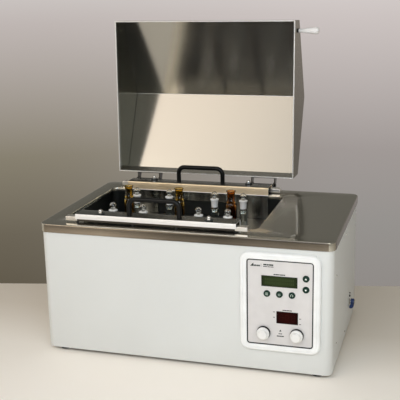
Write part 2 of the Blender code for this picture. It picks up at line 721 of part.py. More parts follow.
def make_trough(look, rack):
    """Shelf and two windowed walls folded from one sheet, with a bar welded along each top edge.

    The bars are longer than the rails above them. They carry the rack on studs that stand on the deck.
    """
    wall_in, wall_out = RAIL_INNER + 0.0018, RAIL_INNER + 0.0030
    sheet = wall_out - wall_in
    flange, flange_top = 0.020, RAIL_TOP - RACK_SHEET - GAP
    half = RAIL_LENGTH / 2 - 0.0015
    section = [(-wall_out, SHELF_Z - sheet), (wall_out, SHELF_Z - sheet), (wall_out, flange_top - sheet)]
    section += [(wall_out + flange, flange_top - sheet), (wall_out + flange, flange_top)]
    section += [(wall_in, flange_top), (wall_in, SHELF_Z), (-wall_in, SHELF_Z), (-wall_in, flange_top)]
    section += [(-wall_out - flange, flange_top), (-wall_out - flange, flange_top - sheet)]
    section += [(-wall_out, flange_top - sheet)]
    obj = place("rack_trough", extruded(section, RACK_X - half, RACK_X + half), look, rack)
    window = extruded(rounded(0.190, 0.104, 0.003, 2), -0.2, 0.2, "Y")
    boolean(obj, moved(window, (RACK_X, 0, DECK_TOP - 0.073)))

    low, tab, high = DECK_TOP + 0.0033, DECK_TOP + 0.012, flange_top - 0.0005
    out, near = HANGER_LENGTH / 2, RAIL_LENGTH / 2 - 0.003
    outline = [(-out, low), (out, low), (out, tab), (near, tab), (near, high)]
    outline += [(-near, high), (-near, tab), (-out, tab)]
    bars, studs = [], []
    for sign in (-1, 1):
        depth = sorted((sign * (RAIL_OUTER - 0.0180), sign * (RAIL_OUTER - RACK_SHEET - GAP)))
        bars.append(moved(extruded(outline, *depth, "Y"), (RACK_X, 0, 0)))
        for offset in (-0.165, -0.046, 0.046, 0.165):
            stud = turned([(0, 0), (0.003, 0), (0.003, 0.004), (0, 0.004)], 10)
            studs.append(moved(stud, (RACK_X + offset, sign * (RAIL_OUTER - 0.006), DECK_TOP + GAP)))
    boolean(obj, merged(*bars), "UNION")
    boolean(obj, merged(*studs), "UNION")


def make_rail(side, sign, look, rack):
    """Inverted channel with a short outer flange and a deeper inner one."""
    top, bend = RAIL_TOP, 0.0025
    inner_low, outer_low = DECK_TOP - 0.001, DECK_TOP + 0.0078
    thick = RACK_SHEET
    outer_bend, inner_bend = RAIL_OUTER - bend, RAIL_INNER + bend
    rounding = [(bend * math.cos(a), top - bend + bend * math.sin(a)) for a in map(math.radians, (30, 60))]
    section = [(RAIL_OUTER, outer_low), (RAIL_OUTER, top - bend)]
    section += [(outer_bend + y, z) for y, z in rounding]
    section += [(outer_bend, top), (inner_bend, top)]
    section += [(inner_bend - y, z) for y, z in reversed(rounding)]
    section += [(RAIL_INNER, top - bend), (RAIL_INNER, inner_low), (RAIL_INNER + thick, inner_low)]
    section += [(RAIL_INNER + thick, top - thick), (RAIL_OUTER - thick, top - thick)]
    section += [(RAIL_OUTER - thick, outer_low)]
    outline = [(sign * y, z) for y, z in section]
    half = RAIL_LENGTH / 2
    place(f"rack_rail_{side}", extruded(outline, RACK_X - half, RACK_X + half), look, rack)


def make_handle(side, sign, look, rack):
    half, base = HANDLE_SPAN / 2, RAIL_TOP + GAP
    top = base + HANDLE_HEIGHT - HANDLE_RADIUS
    y, middle = sign * HANDLE_Y, RACK_X + sign * HANDLE_SHIFT
    left, right = middle - half, middle + half
    corners = [(left, y, base), (left, y, top), (right, y, top), (right, y, base)]
    place(f"rack_handle_{side}", swept(bent_path(corners, HANDLE_BEND), HANDLE_RADIUS, 10), look, rack)


def vessel_places():
    """(name, x, y) of each stoppered tube."""
    found = []
    for row, (y, columns) in zip(("front", "rear"), STOPPERED_ROWS):
        found += [(f"{row}_{i + 1}", RACK_X + x, y) for i, x in enumerate(columns)]
    return found


def make_tube_plate(look, rack):
    half = RAIL_LENGTH / 2 - 0.002
    sides = (RACK_X - half, RACK_X + half), (-RAIL_INNER, RAIL_INNER), (TUBE_PLATE_Z, TUBE_PLATE_Z + 0.0012)
    obj = place("tube_plate", box(*sides), look, rack)
    spots = [(x, y, 0.0100) for _, x, y in vessel_places()]
    spots += [(RACK_X + x, 0, 0.0117) for x in AMBER_COLUMNS]
    holes = [
        moved(turned([(0, -0.01), (r, -0.01), (r, 0.01), (0, 0.01)], 16), (x, y, TUBE_PLATE_Z))
        for x, y, r in spots
    ]
    boolean(obj, merged(*holes))


def make_stoppered_tube(name, x, y, glass, frosted, rack):
    """A plain tube with a beaded mouth, and a ball-topped ground stopper in it."""
    base = SHELF_Z + GAP
    mouth = DECK_TOP - 0.0160 - base
    outer, inner = 0.0088, 0.0074
    profile = [(0, 0), (0.005, 0.0008), (outer, 0.006), (outer, mouth - 0.0040)]
    profile += [(outer + 0.0006, mouth - 0.0022), (outer + 0.0004, mouth)]
    profile += [(0.0070, mouth), (0.0064, mouth - 0.011), (inner, mouth - 0.014)]
    profile += [(inner, 0.007), (0.004, 0.0024), (0, 0.0018)]
    place("tube_" + name, turned(profile, 12), glass, rack, (x, y, base))
    plug = [(0, -0.0260), (0.0060, -0.0260), (0.0078, 0), (0.0094, 0.0014)]
    plug += [(0.0094, 0.0030), (0.0036, 0.0052)]
    ball = arc(0, 0.0125, 0.0072, -58, 90, 5)
    place("stopper_" + name, turned(plug + ball, 12), frosted, rack, (x, y, DECK_TOP))


def make_amber_tube(index, x, look, rack):
    """A taller amber tube with a flared mouth, a waisted neck and a ring below it."""
    base = SHELF_Z + GAP
    top = DECK_TOP + 0.0405 - base
    outer = 0.0104
    profile = [(0, 0), (0.006, 0.0008), (outer, 0.007), (outer, top - 0.032), (0.0088, top - 0.0245)]
    profile += [(0.0092, top - 0.0205), (0.0083, top - 0.0185), (0.0083, top - 0.006)]
    profile += [(0.0100, top - 0.0015), (0.0098, top), (0.0080, top)]
    profile += [(0.0066, top - 0.007), (0.0066, top - 0.022), (outer - 0.0016, top - 0.034)]
    profile += [(outer - 0.0016, 0.008), (0.005, 0.0024), (0, 0.0018)]
    place(f"amber_tube_{index}", turned(profile, 12), look, rack, (x, 0, base))


def main():
    clear_scene()
    painted = material("white_painted_steel", (0.78, 0.79, 0.77), 0.38)
    steel = material("brushed_stainless", (0.50, 0.48, 0.44), 0.32, 1.0)
    bright = material("bright_stainless", (0.62, 0.61, 0.58), 0.22, 1.0)
    black = material("black_nylon", (0.015, 0.016, 0.018), 0.30)
    rubber = material("black_rubber", (0.02, 0.02, 0.02), 0.80)
    bezel = material("white_moulding", (0.86, 0.87, 0.86), 0.35)
    grey = material("grey_overlay", (0.66, 0.63, 0.62), 0.55)
    lcd = material("green_window", (0.035, 0.055, 0.018), 0.18)
    led = material("red_window", (0.030, 0.004, 0.006), 0.15)
    green = material("green_key", (0.008, 0.050, 0.035), 0.45)
    white = material("white_plastic", (0.85, 0.85, 0.83), 0.32)
    board = material("circuit_board", (0.02, 0.16, 0.07), 0.50)
    foam = material("glass_wool", (0.70, 0.62, 0.30), 0.90)
    silicone = material("orange_silicone", (0.55, 0.14, 0.04), 0.60)
    brass = material("plated_brass", (0.60, 0.54, 0.40), 0.28, 1.0)
    blue = material("blue_plastic", (0.015, 0.035, 0.16), 0.35)
    glass = material("clear_glass", (0.90, 0.93, 0.92), 0.05, alpha=0.35)
    frosted = material("ground_glass", (0.82, 0.84, 0.82), 0.35, alpha=0.6)
    amber = material("amber_glass", (0.20, 0.10, 0.01), 0.08, alpha=0.8)

    root = empty("water_bath", location=(-ORIGIN_X, -ORIGIN_Y, 0))
    make_housing(painted, root)
    make_base_plate(steel, root)
    make_feet(rubber, root)
    make_deck(steel, root)
    make_tank(bright, root)
    make_under_tank(silicone, foam, bright, root)
    make_inlet(black, root)
    make_drain(bright, brass, blue, root)

    make_bezel(bezel, root)
    make_panel(grey, root)
    make_board(board, root)
    make_display("lcd_window", LCD_X, LCD_Z, LCD_WIDTH, LCD_HEIGHT, lcd, root)
    make_display("led_window", LED_X, LED_Z, LED_WIDTH, LED_HEIGHT, led, root)
    for name, (x, z) in BUTTONS.items():
        make_button(name, x, z, green, root)
    for name, (x, z) in KNOBS.items():
        make_knob(name, x, z, white, root)

    pivot = empty("lid_pivot", root, (0, PIN_Y, PIN_Z), (-LID_OPEN_ANGLE, 0, 0))
    make_lid(steel, pivot)
    make_lid_knob(white, pivot)
    for side, sign in (("left", -1), ("right", 1)):
        make_hinge(side, LID_X + 0.002 + sign * HINGE_SPACING / 2, bright, steel, root, pivot)

    rack = empty("rack_lift", root)
    make_trough(steel, rack)
    make_tube_plate(steel, rack)
    for side, sign in (("front", -1), ("rear", 1)):
        make_rail(side, sign, steel, rack)
        make_handle(side, sign, black, rack)
    for name, x, y in vessel_places():
        make_stoppered_tube(name, x, y, glass, frosted, rack)
    for index, x in enumerate(AMBER_COLUMNS, start=1):
        make_amber_tube(index, RACK_X + x, amber, rack)


main()
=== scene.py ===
"""Looks of the bench-top water bath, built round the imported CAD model. Metres, +Z up.

Sizes in the first block repeat the CAD model's own. Places come from the CAD nodes' boxes.
"""

import json
import math

import bmesh
import bpy
from mathutils import Matrix, Vector

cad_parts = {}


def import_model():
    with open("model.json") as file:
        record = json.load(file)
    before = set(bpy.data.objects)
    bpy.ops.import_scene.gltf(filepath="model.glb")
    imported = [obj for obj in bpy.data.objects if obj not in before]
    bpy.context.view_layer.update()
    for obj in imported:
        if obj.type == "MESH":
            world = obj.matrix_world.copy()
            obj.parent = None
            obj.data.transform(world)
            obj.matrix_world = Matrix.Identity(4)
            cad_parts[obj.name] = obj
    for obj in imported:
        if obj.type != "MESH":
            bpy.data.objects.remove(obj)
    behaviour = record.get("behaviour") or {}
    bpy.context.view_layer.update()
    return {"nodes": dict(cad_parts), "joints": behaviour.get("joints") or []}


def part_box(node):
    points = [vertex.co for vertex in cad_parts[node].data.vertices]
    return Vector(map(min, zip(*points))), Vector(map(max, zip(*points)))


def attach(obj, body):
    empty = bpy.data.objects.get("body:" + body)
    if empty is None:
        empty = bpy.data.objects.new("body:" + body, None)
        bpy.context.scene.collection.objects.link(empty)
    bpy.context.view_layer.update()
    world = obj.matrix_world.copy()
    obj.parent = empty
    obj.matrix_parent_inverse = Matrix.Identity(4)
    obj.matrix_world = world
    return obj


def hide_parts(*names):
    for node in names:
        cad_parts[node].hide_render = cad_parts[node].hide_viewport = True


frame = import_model()

DECK_SHEET, DECK_CORNER = 0.0015, 0.018
OPENING_CORNER, OPENING_LIP = 0.014, 0.008
TANK_SHEET, TANK_BEND = 0.0012, 0.012
TANK_FLANGE = 0.012  # width of the tank's rim under the deck
HOUSING_SHEET, HOUSING_CORNER, HOUSING_FLANGE = 0.0012, 0.016, 0.0085
BEZEL_CORNER = 0.018
BUTTON_RADIUS, BUTTON_PROUD = 0.00625, 0.0022
LID_REAR_WALL, LID_FRONT_WALL, LID_RIDGE = 0.0597, 0.0544, 0.1345
LID_LENGTH, LID_RIDGE_FROM_REAR = 0.3545, 0.1743
LID_SHEET = 0.0012
LID_FROM_PIN = Vector((0, -0.0187, -0.0075))  # outer rear rim edge of the closed lid, from the pins
RACK_SHEET, WALL_SHEET = 0.0015, 0.0012
HANDLE_RADIUS, HANDLE_BEND = 0.005, 0.014
GAP = 0.0003

BUTTON_NAMES = ("menu_button", "select_button", "start_button", "up_button", "down_button")
KNOB_NAMES = ("left_knob", "right_knob")
SIDES = {"front": -1, "rear": 1}
PIN = Vector(next(j for j in frame["joints"] if j["name"] == "lid_hinge")["pos_m"])
LID_OPEN_ANGLE = math.radians(92)


# Places read from the frame


def span(node, axis):
    low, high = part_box(node)
    return low["xyz".index(axis)], high["xyz".index(axis)]


def size(node, axis):
    low, high = span(node, axis)
    return high - low


def middle(node):
    low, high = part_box(node)
    return (Vector(low) + Vector(high)) / 2


DECK_TOP = span("top_deck", "z")[1]
DECK_MIDDLE = Vector((middle("top_deck").x, middle("top_deck").y, DECK_TOP))
PANEL_FRONT = span("panel_plate", "y")[0]
FRONT_WALL = span("housing", "y")[0]
BACK_WALL = span("housing", "y")[1]
SIDE_WALL = span("housing", "x")[1]


# Shapes


def loft(loops, ring=False, caps=True):
    bm = bmesh.new()
    rows = [[bm.verts.new(point) for point in loop] for loop in loops]
    pairs = list(zip(rows, rows[1:]))
    if ring:
        pairs.append((rows[-1], rows[0]))
    elif caps:
        bm.faces.new(rows[0])
        bm.faces.new(rows[-1])
    for low, high in pairs:
        for i in range(len(low)):
            j = (i + 1) % len(low)
            bm.faces.new((low[i], low[j], high[j], high[i]))
    return bm


def rounded(width, height, radius, steps=10):
    """Outline of a rounded rectangle about (0, 0)."""
    points = []
    for corner, (sx, sy) in enumerate(((1, 1), (-1, 1), (-1, -1), (1, -1))):
        for step in range(steps + 1):
            angle = math.radians(90) * (corner + step / steps)
            x = sx * (width / 2 - radius) + radius * math.cos(angle)
            y = sy * (height / 2 - radius) + radius * math.sin(angle)
            points.append((x, y))
    return points


def level(outline, z, centre):
    return [Vector((centre.x + u, centre.y + v, z)) for u, v in outline]


def upright(outline, y, centre):
    return [Vector((centre.x + u, y, centre.z + v)) for u, v in outline]


def box(low, high):
    corners = ((low[0], low[1]), (high[0], low[1]), (high[0], high[1]), (low[0], high[1]))
    return loft([[Vector((x, y, z)) for x, y in corners] for z in (low[2], high[2])])


def extruded(outline, low, high, axis="X"):
    """An outline of two coordinates, drawn out along the third axis."""
    at = {
        "X": lambda u, v, w: Vector((w, u, v)),
        "Y": lambda u, v, w: Vector((u, w, v)),
        "Z": lambda u, v, w: Vector((u, v, w)),
    }[axis]
    return loft([[at(u, v, w) for u, v in outline] for w in (low, high)])


def turned(profile, segments=48, ring=False):
    """Revolves (radius, z) points about Z. Points at radius 0 become single vertices."""
    bm = bmesh.new()
    rows = []
    for radius, z in profile:
        if radius == 0:
            rows.append([bm.verts.new((0, 0, z))])
            continue
        angles = [math.tau * i / segments for i in range(segments)]
        rows.append([bm.verts.new((radius * math.cos(a), radius * math.sin(a), z)) for a in angles])
    pairs = list(zip(rows, rows[1:]))
    if ring:
        pairs.append((rows[-1], rows[0]))
    for low, high in pairs:
        if len(low) == len(high) == 1:
            continue
        for i in range(segments):
            j = (i + 1) % segments
            corners = [low[i % len(low)], low[j % len(low)], high[j % len(high)], high[i % len(high)]]
            bm.faces.new(list(dict.fromkeys(corners)))
    return bm


def arc(centre_r, centre_z, radius, start, end, steps=8):
    """Points on an arc of a turned profile, in degrees from the +radius direction."""
    angles = [math.radians(start + (end - start) * step / steps) for step in range(steps + 1)]
    return [(max(0.0, centre_r + radius * math.cos(a)), centre_z + radius * math.sin(a)) for a in angles]


def filleted(points, radii, steps=6):
    """A 2-D path through corner points, each inner one rounded to its own radius."""
    points = [Vector(point) for point in points]
    path = [points[0]]
    for before, corner, after, radius in zip(points, points[1:], points[2:], radii):
        into, out = (corner - before).normalized(), (after - corner).normalized()
        half = into.angle(out) / 2
        centre = corner + (out - into).normalized() * radius / math.cos(half)
        start = corner - into * radius * math.tan(half) - centre
        end = corner + out * radius * math.tan(half) - centre
        turn = math.atan2(start.cross(end), start.dot(end))
        path += [centre + Matrix.Rotation(turn * step / steps, 2) @ start for step in range(steps + 1)]
    path.append(points[-1])
    return path


def sheet_outline(path, thickness):
    """Closed outline of a folded sheet: the path, and the same path moved to its left."""
    moved = []
    for i, point in enumerate(path):
        ahead = (path[min(i + 1, len(path) - 1)] - point).normalized()
        back = (point - path[max(i - 1, 0)]).normalized()
        along = ahead + back
        along.normalize()
        side = Vector((-along.y, along.x))
        scale = thickness / max(0.5, side.dot(Vector((-back.y, back.x))) if i else 1)
        moved.append(point + side * scale)
    return [tuple(p) for p in path] + [tuple(p) for p in reversed(moved)]


def swept(path, radius, segments=24):
    """A round rod along a path that lies in one plane."""
    normal = Vector((0, 0, 0))
    for before, here, after in zip(path, path[1:], path[2:]):
        normal = max(normal, (here - before).cross(after - here), key=lambda v: v.length)
    normal.normalize()
    loops = []
    for index, point in enumerate(path):
        along = (path[min(index + 1, len(path) - 1)] - path[max(index - 1, 0)]).normalized()
        side = along.cross(normal)
        angles = [math.tau * k / segments for k in range(segments)]
        loops.append([point + radius * (math.cos(a) * side + math.sin(a) * normal) for a in angles])
    return loft(loops)


def mesh_of(name, bm):
    bmesh.ops.recalc_face_normals(bm, faces=bm.faces)
    mesh = bpy.data.meshes.new(name)
    bm.to_mesh(mesh)
    bm.free()
    return mesh


def linked(name, data):
    obj = bpy.data.objects.new(name, data)
    bpy.context.scene.collection.objects.link(obj)
    return obj


def joined(*parts):
    """Several closed shapes as one mesh."""
    bm = bmesh.new()
    for part in parts:
        copy = mesh_of("part", part)
        bm.from_mesh(copy)
        bpy.data.meshes.remove(copy)
    return bm


def moved(bm, offset=(0, 0, 0), turn=None):
    if turn:
        bmesh.ops.transform(bm, matrix=Matrix.Rotation(math.radians(turn[1]), 4, turn[0]), verts=bm.verts)
    bmesh.ops.translate(bm, vec=Vector(offset), verts=bm.verts)
    return bm


def add_grain_map(mesh, grain):
    """A UV map whose U runs across the sheet's grain, so that its highlights smear that way."""
    layer = mesh.uv_layers.new(name="grain")
    for face in mesh.polygons:
        across = face.normal.cross(grain)
        if across.length < 0.3:
            across = face.normal.orthogonal()
        across.normalize()
        along = across.cross(face.normal)
        for loop in face.loop_indices:
            point = mesh.vertices[mesh.loops[loop].vertex_index].co
            layer.data[loop].uv = (point.dot(across), point.dot(along))


def round_edges(obj, width):
    rounding = obj.modifiers.new("Rounding", "BEVEL")
    rounding.width = width
    rounding.segments = 2
    rounding.limit_method = "ANGLE"
    return rounding


def piece(name, bm, look, body="cabinet", stands_for=(), place=None, bevel=0.0, grain=(1, 0, 0), angle=35):
    """Makes an object of this mesh, rounds its edges, and lets it ride on a CAD body.

    The place is a matrix or a point. The look becomes the mesh's material.
    """
    mesh = mesh_of(name, bm)
    mesh.materials.append(look)
    mesh.shade_smooth()
    mesh.set_sharp_from_angle(angle=math.radians(angle))
    add_grain_map(mesh, Vector(grain))
    if place is not None:
        mesh.transform(place if isinstance(place, Matrix) else Matrix.Translation(place))
    obj = linked(name, mesh)
    if bevel:
        rounding = round_edges(obj, bevel)
        rounding.angle_limit = math.radians(30)
        rounding.harden_normals = True
    bpy.context.view_layer.update()
    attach(obj, body)
    if stands_for:
        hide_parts(*stands_for)
    return obj


def coat_faces(obj, look, wanted):
    """Gives a second material to the faces that the test picks."""
    obj.data.materials.append(look)
    for face in obj.data.polygons:
        if wanted(face):
            face.material_index = len(obj.data.materials) - 1


def cut(obj, bm):
    """Cuts this mesh out of the object."""
    mesh = mesh_of(obj.name + "_cutter", bm)
    helper = linked(mesh.name, mesh)
    boolean = obj.modifiers.new("Cut", "BOOLEAN")
    boolean.operation = "DIFFERENCE"
    boolean.solver = "EXACT"
    boolean.object = helper
    with bpy.context.temp_override(object=obj, active_object=obj):
        obj.modifiers.move(len(obj.modifiers) - 1, 0)
        bpy.ops.object.modifier_apply(modifier="Cut")
    bpy.data.objects.remove(helper)
    bpy.data.meshes.remove(mesh)


def pin_shape(radius, half_length, segments=48):
    """A plain cylinder about the origin, for cutting holes."""
    return turned([(0, -half_length), (radius, -half_length), (radius, half_length), (0, half_length)], segments)


# Materials


class Look:
    """The node tree of a material, or of the world, while it is put together."""

    def __init__(self, owner):
        owner.use_nodes = True
        self.owner = owner
        self.nodes, self.links = owner.node_tree.nodes, owner.node_tree.links

    def set(self, **values):
        """Values of the shader's own sockets, with _ for a space in their names."""
        for socket, value in values.items():
            self.nodes["Principled BSDF"].inputs[socket.replace("_", " ")].default_value = value

    def feed(self, source, socket):
        self.links.new(source, self.nodes["Principled BSDF"].inputs[socket])

    def coordinate(self, axis, space="Object"):
        coords, place = self.nodes.new("ShaderNodeTexCoord"), self.nodes.new("ShaderNodeSeparateXYZ")
        self.links.new(coords.outputs[space], place.inputs["Vector"])
        return place.outputs[axis]

    def noise(self, scale, detail=3.0, seed=0.0):
        """A noise texture in object space. The scale is one number, or one for each axis, in 1/metre."""
        coords, mapping = self.nodes.new("ShaderNodeTexCoord"), self.nodes.new("ShaderNodeMapping")
        mapping.inputs["Scale"].default_value = scale if isinstance(scale, tuple) else (scale,) * 3
        mapping.inputs["Location"].default_value = (seed, seed, seed)
        self.links.new(coords.outputs["Object"], mapping.inputs["Vector"])
        made = self.nodes.new("ShaderNodeTexNoise")
        made.inputs["Scale"].default_value = 1.0
        made.inputs["Detail"].default_value = detail
        self.links.new(mapping.outputs["Vector"], made.inputs["Vector"])
        return made.outputs["Fac"]

    def ranged(self, source, low, high, to_low=0.0, to_high=1.0):
        """Maps low..high of a number to to_low..to_high."""
        made = self.nodes.new("ShaderNodeMapRange")
        for socket, value in zip(("From Min", "From Max", "To Min", "To Max"), (low, high, to_low, to_high)):
            made.inputs[socket].default_value = value
        self.links.new(source, made.inputs["Value"])
        return made.outputs["Result"]

    def scaled(self, source, factor, added=None):
        """source * factor, plus another socket."""
        made = self.nodes.new("ShaderNodeMath")
        made.operation = "MULTIPLY_ADD" if added else "MULTIPLY"
        made.inputs[1].default_value = factor
        self.links.new(source, made.inputs[0])
        if added:
            self.links.new(added, made.inputs[2])
        return made.outputs[0]

    def ramp(self, source, stops):
        """Colours that run through (position, colour) stops."""
        made = self.nodes.new("ShaderNodeValToRGB")
        elements = made.color_ramp.elements
        for _ in stops[2:]:
            elements.new(0.5)
        for element, (position, _) in zip(elements, stops):
            element.position = position
        for element, (_, tone) in zip(elements, stops):
            element.color = (*tone, 1)
        self.links.new(source, made.inputs["Fac"])
        return made.outputs["Color"]

    def mixed(self, low, high, share=1.0, blend="MIX"):
        """Two colours mixed. The share is a number or a socket."""
        made = self.nodes.new("ShaderNodeMix")
        made.data_type, made.blend_type = "RGBA", blend
        if isinstance(share, float):
            made.inputs["Factor"].default_value = share
        else:
            self.links.new(share, made.inputs["Factor"])
        self.links.new(low, made.inputs["A"])
        self.links.new(high, made.inputs["B"])
        return made.outputs["Result"]

    def gloss(self, source, low, high):
        """Roughness that follows a 0 to 1 texture."""
        self.feed(self.ranged(source, 0.3, 0.7, low, high), "Roughness")

    def tint(self, source, dark, light, spread=0.2):
        """Base colour that follows a 0 to 1 texture."""
        self.feed(self.ramp(source, ((0.5 - spread, dark), (0.5 + spread, light))), "Base Color")

    def bump(self, source, height, before=None, strength=1.0):
        made = self.nodes.new("ShaderNodeBump")
        made.inputs["Strength"].default_value = strength
        made.inputs["Distance"].default_value = height
        self.links.new(source, made.inputs["Height"])
        if before is not None:
            self.links.new(before, made.inputs["Normal"])
        self.feed(made.outputs["Normal"], "Normal")
        return made.outputs["Normal"]


def shade(colour, factor):
    return tuple(min(1.0, c * factor) for c in colour)


def brushed_steel(name, colour, roughness, anisotropy=0.7, grain="X", streak=0.0000008, wear=1.0, bands=420.0,
                  contrast=(0.96, 1.03), edge=1.0, spread=0.2, haze=0.0, metal=1.0):
    """Stainless sheet: fine scratches along the grain, cloudy patches, and slight waviness.

    Bands is how many streaks a metre has, and contrast how dark and light they are. Edge dims the grazing
    reflection, and haze adds a dull film.
    """
    look = Look(bpy.data.materials.new(name))
    look.set(Metallic=metal, Anisotropic=anisotropy, Coat_Weight=haze, Coat_Roughness=0.6)
    if edge < 1:
        look.set(Specular_Tint=(edge, edge * 0.98, edge * 0.92, 1))

    def along_grain(across, along, detail, seed=0.0):
        return look.noise(tuple(along if axis == grain else across for axis in "XYZ"), detail, seed)

    clouds = look.scaled(look.noise(9.0, 4.0, seed=3.0), 0.45)
    tone = look.scaled(along_grain(bands, 3.0, 3.0, 7.0), 0.55, clouds)
    look.gloss(tone, roughness * (1 - 0.12 * wear), roughness * (1 + 0.14 * wear))
    look.tint(tone, shade(colour, contrast[0]), shade(colour, contrast[1]), spread)
    waves = look.bump(look.noise(7.0, 0.0, seed=5.0), 0.0002, strength=0.35)
    look.bump(along_grain(2600.0, 14.0, 2.0), streak, waves)
    tangent = look.nodes.new("ShaderNodeTangent")
    tangent.direction_type, tangent.uv_map = "UV_MAP", "grain"
    look.feed(tangent.outputs["Tangent"], "Tangent")
    return look.owner


def toned_along_x(made, stops):
    """Multiplies a material's colour by a grey that changes slowly along X."""
    look, end = Look(made), stops[-1][0]
    share = look.ranged(look.coordinate("X"), -end, end)
    grey = look.ramp(share, [((x + end) / (2 * end), (tone,) * 3) for x, tone in stops])
    colour = look.nodes["Principled BSDF"].inputs["Base Color"].links[0].from_socket
    look.feed(look.mixed(colour, grey, blend="MULTIPLY"), "Base Color")


def plain_steel(name, colour, roughness):
    """Steel for parts that keep their CAD mesh, which has no grain map."""
    look = Look(bpy.data.materials.new(name))
    look.set(Metallic=1.0)
    clouds = look.noise(30.0, 4.0)
    look.gloss(clouds, roughness * 0.85, roughness * 1.2)
    look.tint(clouds, shade(colour, 0.93), shade(colour, 1.05))
    look.bump(look.noise((900.0, 30.0, 900.0), 2.0), 0.000004)
    return look.owner


def painted(name, colour, roughness):
    """Powder coat: a soft orange-peel skin with faint variation of tone and gloss."""
    look = Look(bpy.data.materials.new(name))
    tone = look.noise(6.0, 3.0, seed=2.0)
    look.tint(tone, shade(colour, 0.975), shade(colour, 1.015))
    look.gloss(tone, roughness * 0.9, roughness * 1.12)
    look.bump(look.noise(620.0, 2.0), 0.00003)
    return look.owner


def plastic(name, colour, roughness, texture=0.00002, scale=1500.0, coat=0.0, specular=0.5):
    """Moulded plastic with a fine spark-eroded skin and slight change of gloss."""
    look = Look(bpy.data.materials.new(name))
    look.set(Specular_IOR_Level=specular, Coat_Weight=coat, Coat_Roughness=0.08)
    tone = look.noise(40.0, 3.0, seed=4.0)
    look.tint(tone, shade(colour, 0.95), shade(colour, 1.03))
    look.gloss(tone, roughness * 0.85, roughness * 1.15)
    look.bump(look.noise(scale, 2.0), texture)
    return look.owner


def glass(name, colour, roughness=0.0, haze=0.0, clear=1.0, below=None, ior=1.47):
    """Blown glass, slightly uneven. Haze is how far the roughness varies. Below the neck it can be painted darker, as
    shade in the tank.
    """
    look = Look(bpy.data.materials.new(name))
    look.set(Base_Color=(*colour, 1), Transmission_Weight=clear, IOR=ior)
    if below:
        look.tint(look.ranged(look.coordinate("Z", "Generated"), 0.76, 0.88), below, colour)
    look.gloss(look.noise(300.0, 2.0), roughness, roughness + haze)
    look.bump(look.noise(90.0, 1.0, seed=6.0), 0.00012)
    return look.owner


def window_glass(name, colour, rim, deep):
    """Tinted display window, darker towards its ends."""
    look = Look(bpy.data.materials.new(name))
    look.set(Roughness=0.30, Specular_IOR_Level=0.05)
    stops = ((0.0, rim), (0.04, deep), (0.5, colour), (0.96, deep), (1.0, rim))
    look.feed(look.ramp(look.coordinate("X", "Generated"), stops), "Base Color")
    look.bump(look.noise(1800.0, 1.0), 0.00001)
    return look.owner


# Grey of the rim at places along X, in metres from the middle: a painted reflection of the table and the dark room in
# front
RIM_REFLECTION_TONES = ((-0.30, 0.78), (-0.17, 1.0), (-0.11, 0.72), (-0.02, 0.42), (0.07, 0.30), (0.16, 0.45), (0.27, 0.54),
             (0.30, 0.75))

STEEL = brushed_steel("deck_steel", (0.55, 0.53, 0.46), 0.16, 0.5, haze=0.5)
# Darker, warmer steel for the rim: its colour and its tones along X are a painted reflection
RIM_PAINTED_REFLECTION = brushed_steel("rim_steel", (0.39, 0.335, 0.265), 0.17, 0.6, bands=260.0, contrast=(0.75, 1.15))
toned_along_x(RIM_PAINTED_REFLECTION, RIM_REFLECTION_TONES)
LID_STEEL = brushed_steel("lid_steel", (0.485, 0.475, 0.435), 0.15, 0.7, haze=0.8)
# Darker steel for the lid's end plates: painted shade, with their grazing reflection dimmed
LID_END_PAINTED_SHADE = brushed_steel("lid_end_steel", (0.335, 0.33, 0.28), 0.20, 0.5, grain="Z", edge=0.62, haze=0.1)
# Near-white steel for the lid's fold, the edges of its mouth and the rail hems: a painted highlight
PAINTED_HIGHLIGHT_EDGE = brushed_steel("lit_edge", (0.95, 0.94, 0.91), 0.5, 0.0)
# Rail faces: the front rail's near-white satin colour is painted light, and the rear rail's warm beige is a painted
# reflection
RAIL_PAINTED_REFLECTION = {
    "front": brushed_steel("rail_front_steel", (0.97, 0.955, 0.93), 0.35, 0.75, metal=0.42),
    "rear": brushed_steel("rail_rear_steel", (0.93, 0.785, 0.56), 0.35, 0.75),
}
# Dark steel for the rails' top faces: a painted dark reflection
RAIL_TOP_DARK_REFLECTION = brushed_steel("rail_top_steel", (0.15, 0.15, 0.13), 0.24, 0.4, haze=0.9)
# Hanger tabs painted bright as a highlight, and the hanger bar painted near-black as the shade under the rail
TAB_PAINTED_HIGHLIGHT = brushed_steel("tab_steel", (0.90, 0.87, 0.82), 0.30, 0.5)
HANGER_PAINTED_SHADE = brushed_steel("hanger_steel", (0.09, 0.08, 0.07), 0.4, 0.3)
# Rack walls and floor painted dark as shade in the tank; the walls' strong vertical streaks are partly grain and partly
# painted reflection
RACK_WALL_GRAIN_AND_SHADE = brushed_steel("rack_wall_steel", (0.24, 0.24, 0.215), 0.20, 0.6, grain="Z", wear=2.0, bands=90.0,
                           contrast=(0.33, 2.5), spread=0.12)
RACK_FLOOR_PAINTED_SHADE = brushed_steel("rack_floor_steel", (0.22, 0.22, 0.20), 0.26, 0.5)
# Steel deep in the tank, painted near-black as the shade under the lid
TUBE_PLATE_PAINTED_SHADE = brushed_steel("tube_plate_steel", (0.10, 0.10, 0.095), 0.35, 0.5)
TANK_PAINTED_SHADE = brushed_steel("tank_steel", (0.055, 0.060, 0.058), 0.38, 0.3, grain="Z")
BRIGHT = brushed_steel("bright_steel", (0.66, 0.65, 0.62), 0.16, 0.0, streak=0.000002)
BRASS = brushed_steel("plated_brass", (0.66, 0.62, 0.54), 0.22, 0.0)
PLAIN_STEEL = plain_steel("plain_steel", (0.50, 0.49, 0.46), 0.30)
ZINC = plain_steel("zinc_plate", (0.075, 0.075, 0.068), 0.18)
